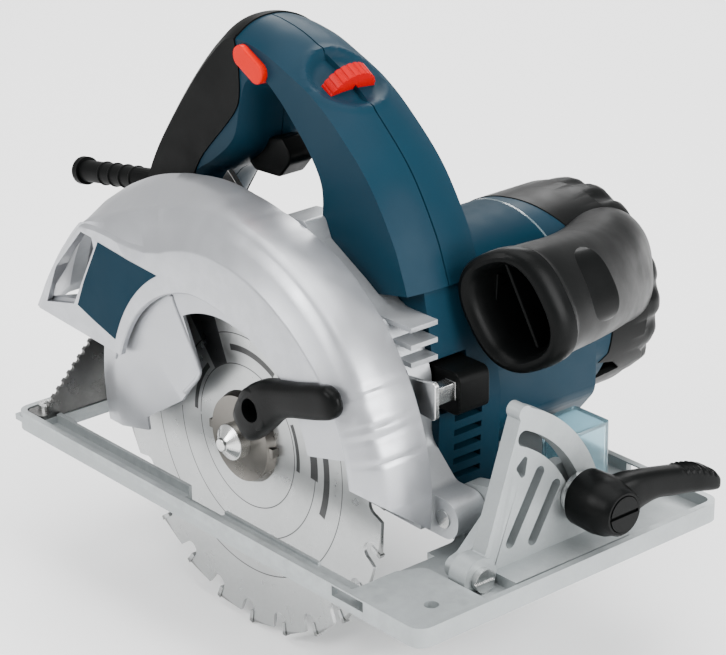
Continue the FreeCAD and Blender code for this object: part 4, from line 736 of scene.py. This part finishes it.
def bead(name, points, radius, body, slot):
    """A raised round line along a path of points."""
    line = flow(points, 5)
    rows = []
    for index, spot in enumerate(line):
        ahead = Vector(line[min(index + 1, len(line) - 1)]) - Vector(line[max(index - 1, 0)])
        side = Vector((0, 1, 0))
        up = ahead.cross(side).normalized()
        size = radius if 0 < index < len(line) - 1 else radius * 0.3
        rows.append([Vector(spot) + side * size * math.cos(math.pi * step / 6)
                     + up * size * math.sin(math.pi * step / 6) for step in range(12)])
    return place(name, to_mesh(skin(rows), name), body, slot, angle=60)


FLANK_LINE = 84.2


def lower_guard_beads():
    """The turned edge of the swinging guard: one line round its front, one down its flank."""
    front = [(-36, -12.8, 91), (-33.5, -12.8, 86), (-27, -12.8, 76), (-18.5, -12.8, 62.6),
             (-18.2, -12.8, 57), (-24, -12.8, 50.4), (-30, -12.6, 44.6)]
    bead("lower_guard_front_bead", front, 1.1, BODY_OF["lower_guard"], "guard_paint")
    flank = [(x, -12.7, z) for x, z in arc(ARBOR, FLANK_LINE, 146, 170, 4)]
    bead("lower_guard_flank_bead", flank, 0.9, BODY_OF["lower_guard"], "guard_paint")


CLAMP_AXIS = (70, 29)
CLAMP_START = 142


def bevel_lever():
    """Black clamp lever of the bevel quadrant: a hub, an arched arm and a ridged tip."""
    hub = skin([[(CLAMP_START + along, y, z) for y, z in circle(CLAMP_AXIS, radius, 64)]
                for along, radius in ((0.2, 11.8), (1.2, 12.8), (12, 13.2), (17, 12.4),
                                      (20.6, 10.8), (23.2, 10.2), (24, 9.4), (24, 8.4),
                                      (20.4, 8.3), (20.4, 3.2))])
    arm = ((68, 30, 20, 154, 13), (80, 31.6, 19, 156, 12.6), (88, 32.6, 15.6, 157, 11),
           (96, 32.4, 13.4, 157.6, 10), (106, 30.4, 13.2, 158, 10), (114, 28.8, 12.8, 158, 11),
           (122, 26.8, 12, 158, 12.6), (129, 24.2, 10, 158, 13), (132, 22.8, 7.4, 158, 12),
           (133.4, 22.4, 3, 158, 8))
    rows = []
    for y, z, up, x, deep in flow(arm, 10):
        ridge = 0.7 * math.sin(y * 1.9) * eased(y, 108, 111) * (1 - eased(y, 129, 131))
        rows.append([(x + side, y, z + rise + (ridge if rise > up * 0.3 else 0.0))
                     for side, _, rise in oval((0, 0), deep, up, 0, 3.4, 32)])
    joined = carved(to_mesh(hub, "lever_hub"), to_mesh(skin(rows), "lever_arm"), operation="UNION")
    place("bevel_lever_shape", joined, BODY_OF["bevel_lever"], "black_housing", ["bevel_lever"],
          angle=40)


# angles round the motor and places along Y between which its film lies
FILM_TURNS = (50, 112)
FILM_ENDS = (86, 131)


def motor_film():
    """Blank film with a pale border, bent round the top of the motor."""
    for name, margin, lift, slot in (("motor_film_border", 0, 0.12, "clear_plastic"),
                                     ("motor_film", 1.2, 0.2, "label_film")):
        ends = (FILM_ENDS[0] + margin, FILM_ENDS[1] - margin)
        rows = []
        for reach, end in ((DRUM + lift, ends[0]), (DRUM + lift, ends[1]), (DRUM - 0.4, ends[1]),
                           (DRUM - 0.4, ends[0])):
            edge = arc(MOTOR, reach, FILM_TURNS[0] + margin, FILM_TURNS[1] - margin, 40)
            rows.append([(x, end, z) for x, z in edge])
        shape = skin(rows, wrap=False, caps=False, loop=True)
        bmesh.ops.holes_fill(shape, edges=[edge for edge in shape.edges if edge.is_boundary])
        place(name, to_mesh(shape, name), "saw", slot, angle=40)


TAB_END = 37


def spindle_lock():
    """The lock's bright tab and its black push block, one part with two finishes."""
    piece = softened("spindle_lock", 0.8)
    piece.data.materials.append(FINISHES["bright_steel"])
    for face in piece.data.polygons:
        if face.center.y < TAB_END * MM:
            face.material_index = 1


# ---------------------------------------------------------------- the pieces

# CAD parts that need only rounded edges, with the width of the rounding
SOFT_EDGES = {
    "base_plate": 0.6, "rear_bracket": 0.4, "gear_case": 0.7, "motor_housing": 0.8,
    "trigger": 0.9, "cord_sleeve": 0.5, "blade_bolt": 0.4, "depth_clamp_lever": 0.8,
    "clear_cover": 0.5, "lock_off_button": 0.8, "bevel_frame": 0.5, "depth_guide": 0.4,
}
for node, width in SOFT_EDGES.items():
    softened(node, width)
softened("lower_guard", 0.3, whole=False)
softened("saw_blade", 0.12, print_finish())
softened("outer_flange", 0.4, turned("flange_steel", screen(112, 109, 104), 0.3).material)
guard_lever()
lower_guard_beads()
bevel_lever()
spindle_lock()
motor_film()
upper_guard()
guard_decal()
main_handle()
motor_cap()
front_handle()

for node, shape in frame["nodes"].items():
    shape.data.materials.clear()
    shape.data.materials.append(FINISHES[SLOT_OF[node]])


# ---------------------------------------------------------------- floor, light and camera

def make_floor():
    """A pale studio floor that the blade just touches."""
    span = 8.0
    height = cad_box[0].z - 0.0005
    mesh = bpy.data.meshes.new("floor")
    corners = [(-span, -span, height), (span, -span, height), (span, span, height),
               (-span, span, height)]
    mesh.from_pydata(corners, [], [(0, 1, 2, 3)])
    floor = bpy.data.objects.new("floor", mesh)
    bpy.context.scene.collection.objects.link(floor)
    paint = Finish("studio_floor", Roughness=0.9)
    cloud = paint.range(paint.noise(2.0), 0.3, 0.7)
    paint.set("Base Color", paint.mix(cloud, (0.95, 0.95, 0.95, 1.0), (0.97, 0.97, 0.97, 1.0)))
    mesh.materials.append(paint.material)


def make_light(name, spot, size, power, target=(0.0, 0.06, 0.08)):
    """A square soft box that faces the saw."""
    lamp = bpy.data.lights.new(name, "AREA")
    lamp.size = size
    lamp.energy = power
    made = bpy.data.objects.new(name, lamp)
    bpy.context.scene.collection.objects.link(made)
    made.location = spot
    made.rotation_euler = (Vector(target) - Vector(spot)).to_track_quat("-Z", "Y").to_euler()


def make_world():
    """Even white light from all round."""
    world = bpy.data.worlds.new("studio")
    bpy.context.scene.world = world
    world.use_nodes = True
    back = world.node_tree.nodes["Background"]
    back.inputs["Color"].default_value = (1.0, 1.0, 1.0, 1.0)
    back.inputs["Strength"].default_value = 0.85


CAMERA_SPOT = (0.8421, -0.6410, 0.5226)
CAMERA_TURN, CAMERA_RISE, CAMERA_ROLL = 49.9, 22.65, -0.86
CAMERA_LENS = 128.97


def make_camera():
    """The camera of the reference view: from the front right, a little above."""
    data = bpy.data.cameras.new("camera")
    data.lens = CAMERA_LENS
    data.sensor_width = 36.0
    data.clip_start = 0.01
    data.clip_end = 30.0
    camera = bpy.data.objects.new("camera", data)
    bpy.context.scene.collection.objects.link(camera)
    turn, rise, roll = (math.radians(angle) for angle in (CAMERA_TURN, CAMERA_RISE, CAMERA_ROLL))
    ahead = Vector((-math.sin(turn) * math.cos(rise), math.cos(turn) * math.cos(rise),
                    -math.sin(rise)))
    camera.location = CAMERA_SPOT
    camera.rotation_mode = "QUATERNION"
    level = ahead.to_track_quat("-Z", "Y")
    camera.rotation_quaternion = level @ Quaternion((0.0, 0.0, 1.0), roll)
    bpy.context.scene.camera = camera


make_floor()
make_world()
make_light("top", (0.1, 0.1, 2.6), 2.4, 90.0)
make_light("key", (-0.3, -1.9, 1.3), 1.0, 44.0)
make_light("front", (1.9, 0.5, 0.8), 1.3, 74.0)
make_light("back", (-1.1, 1.2, 1.2), 0.9, 22.0)
make_camera()
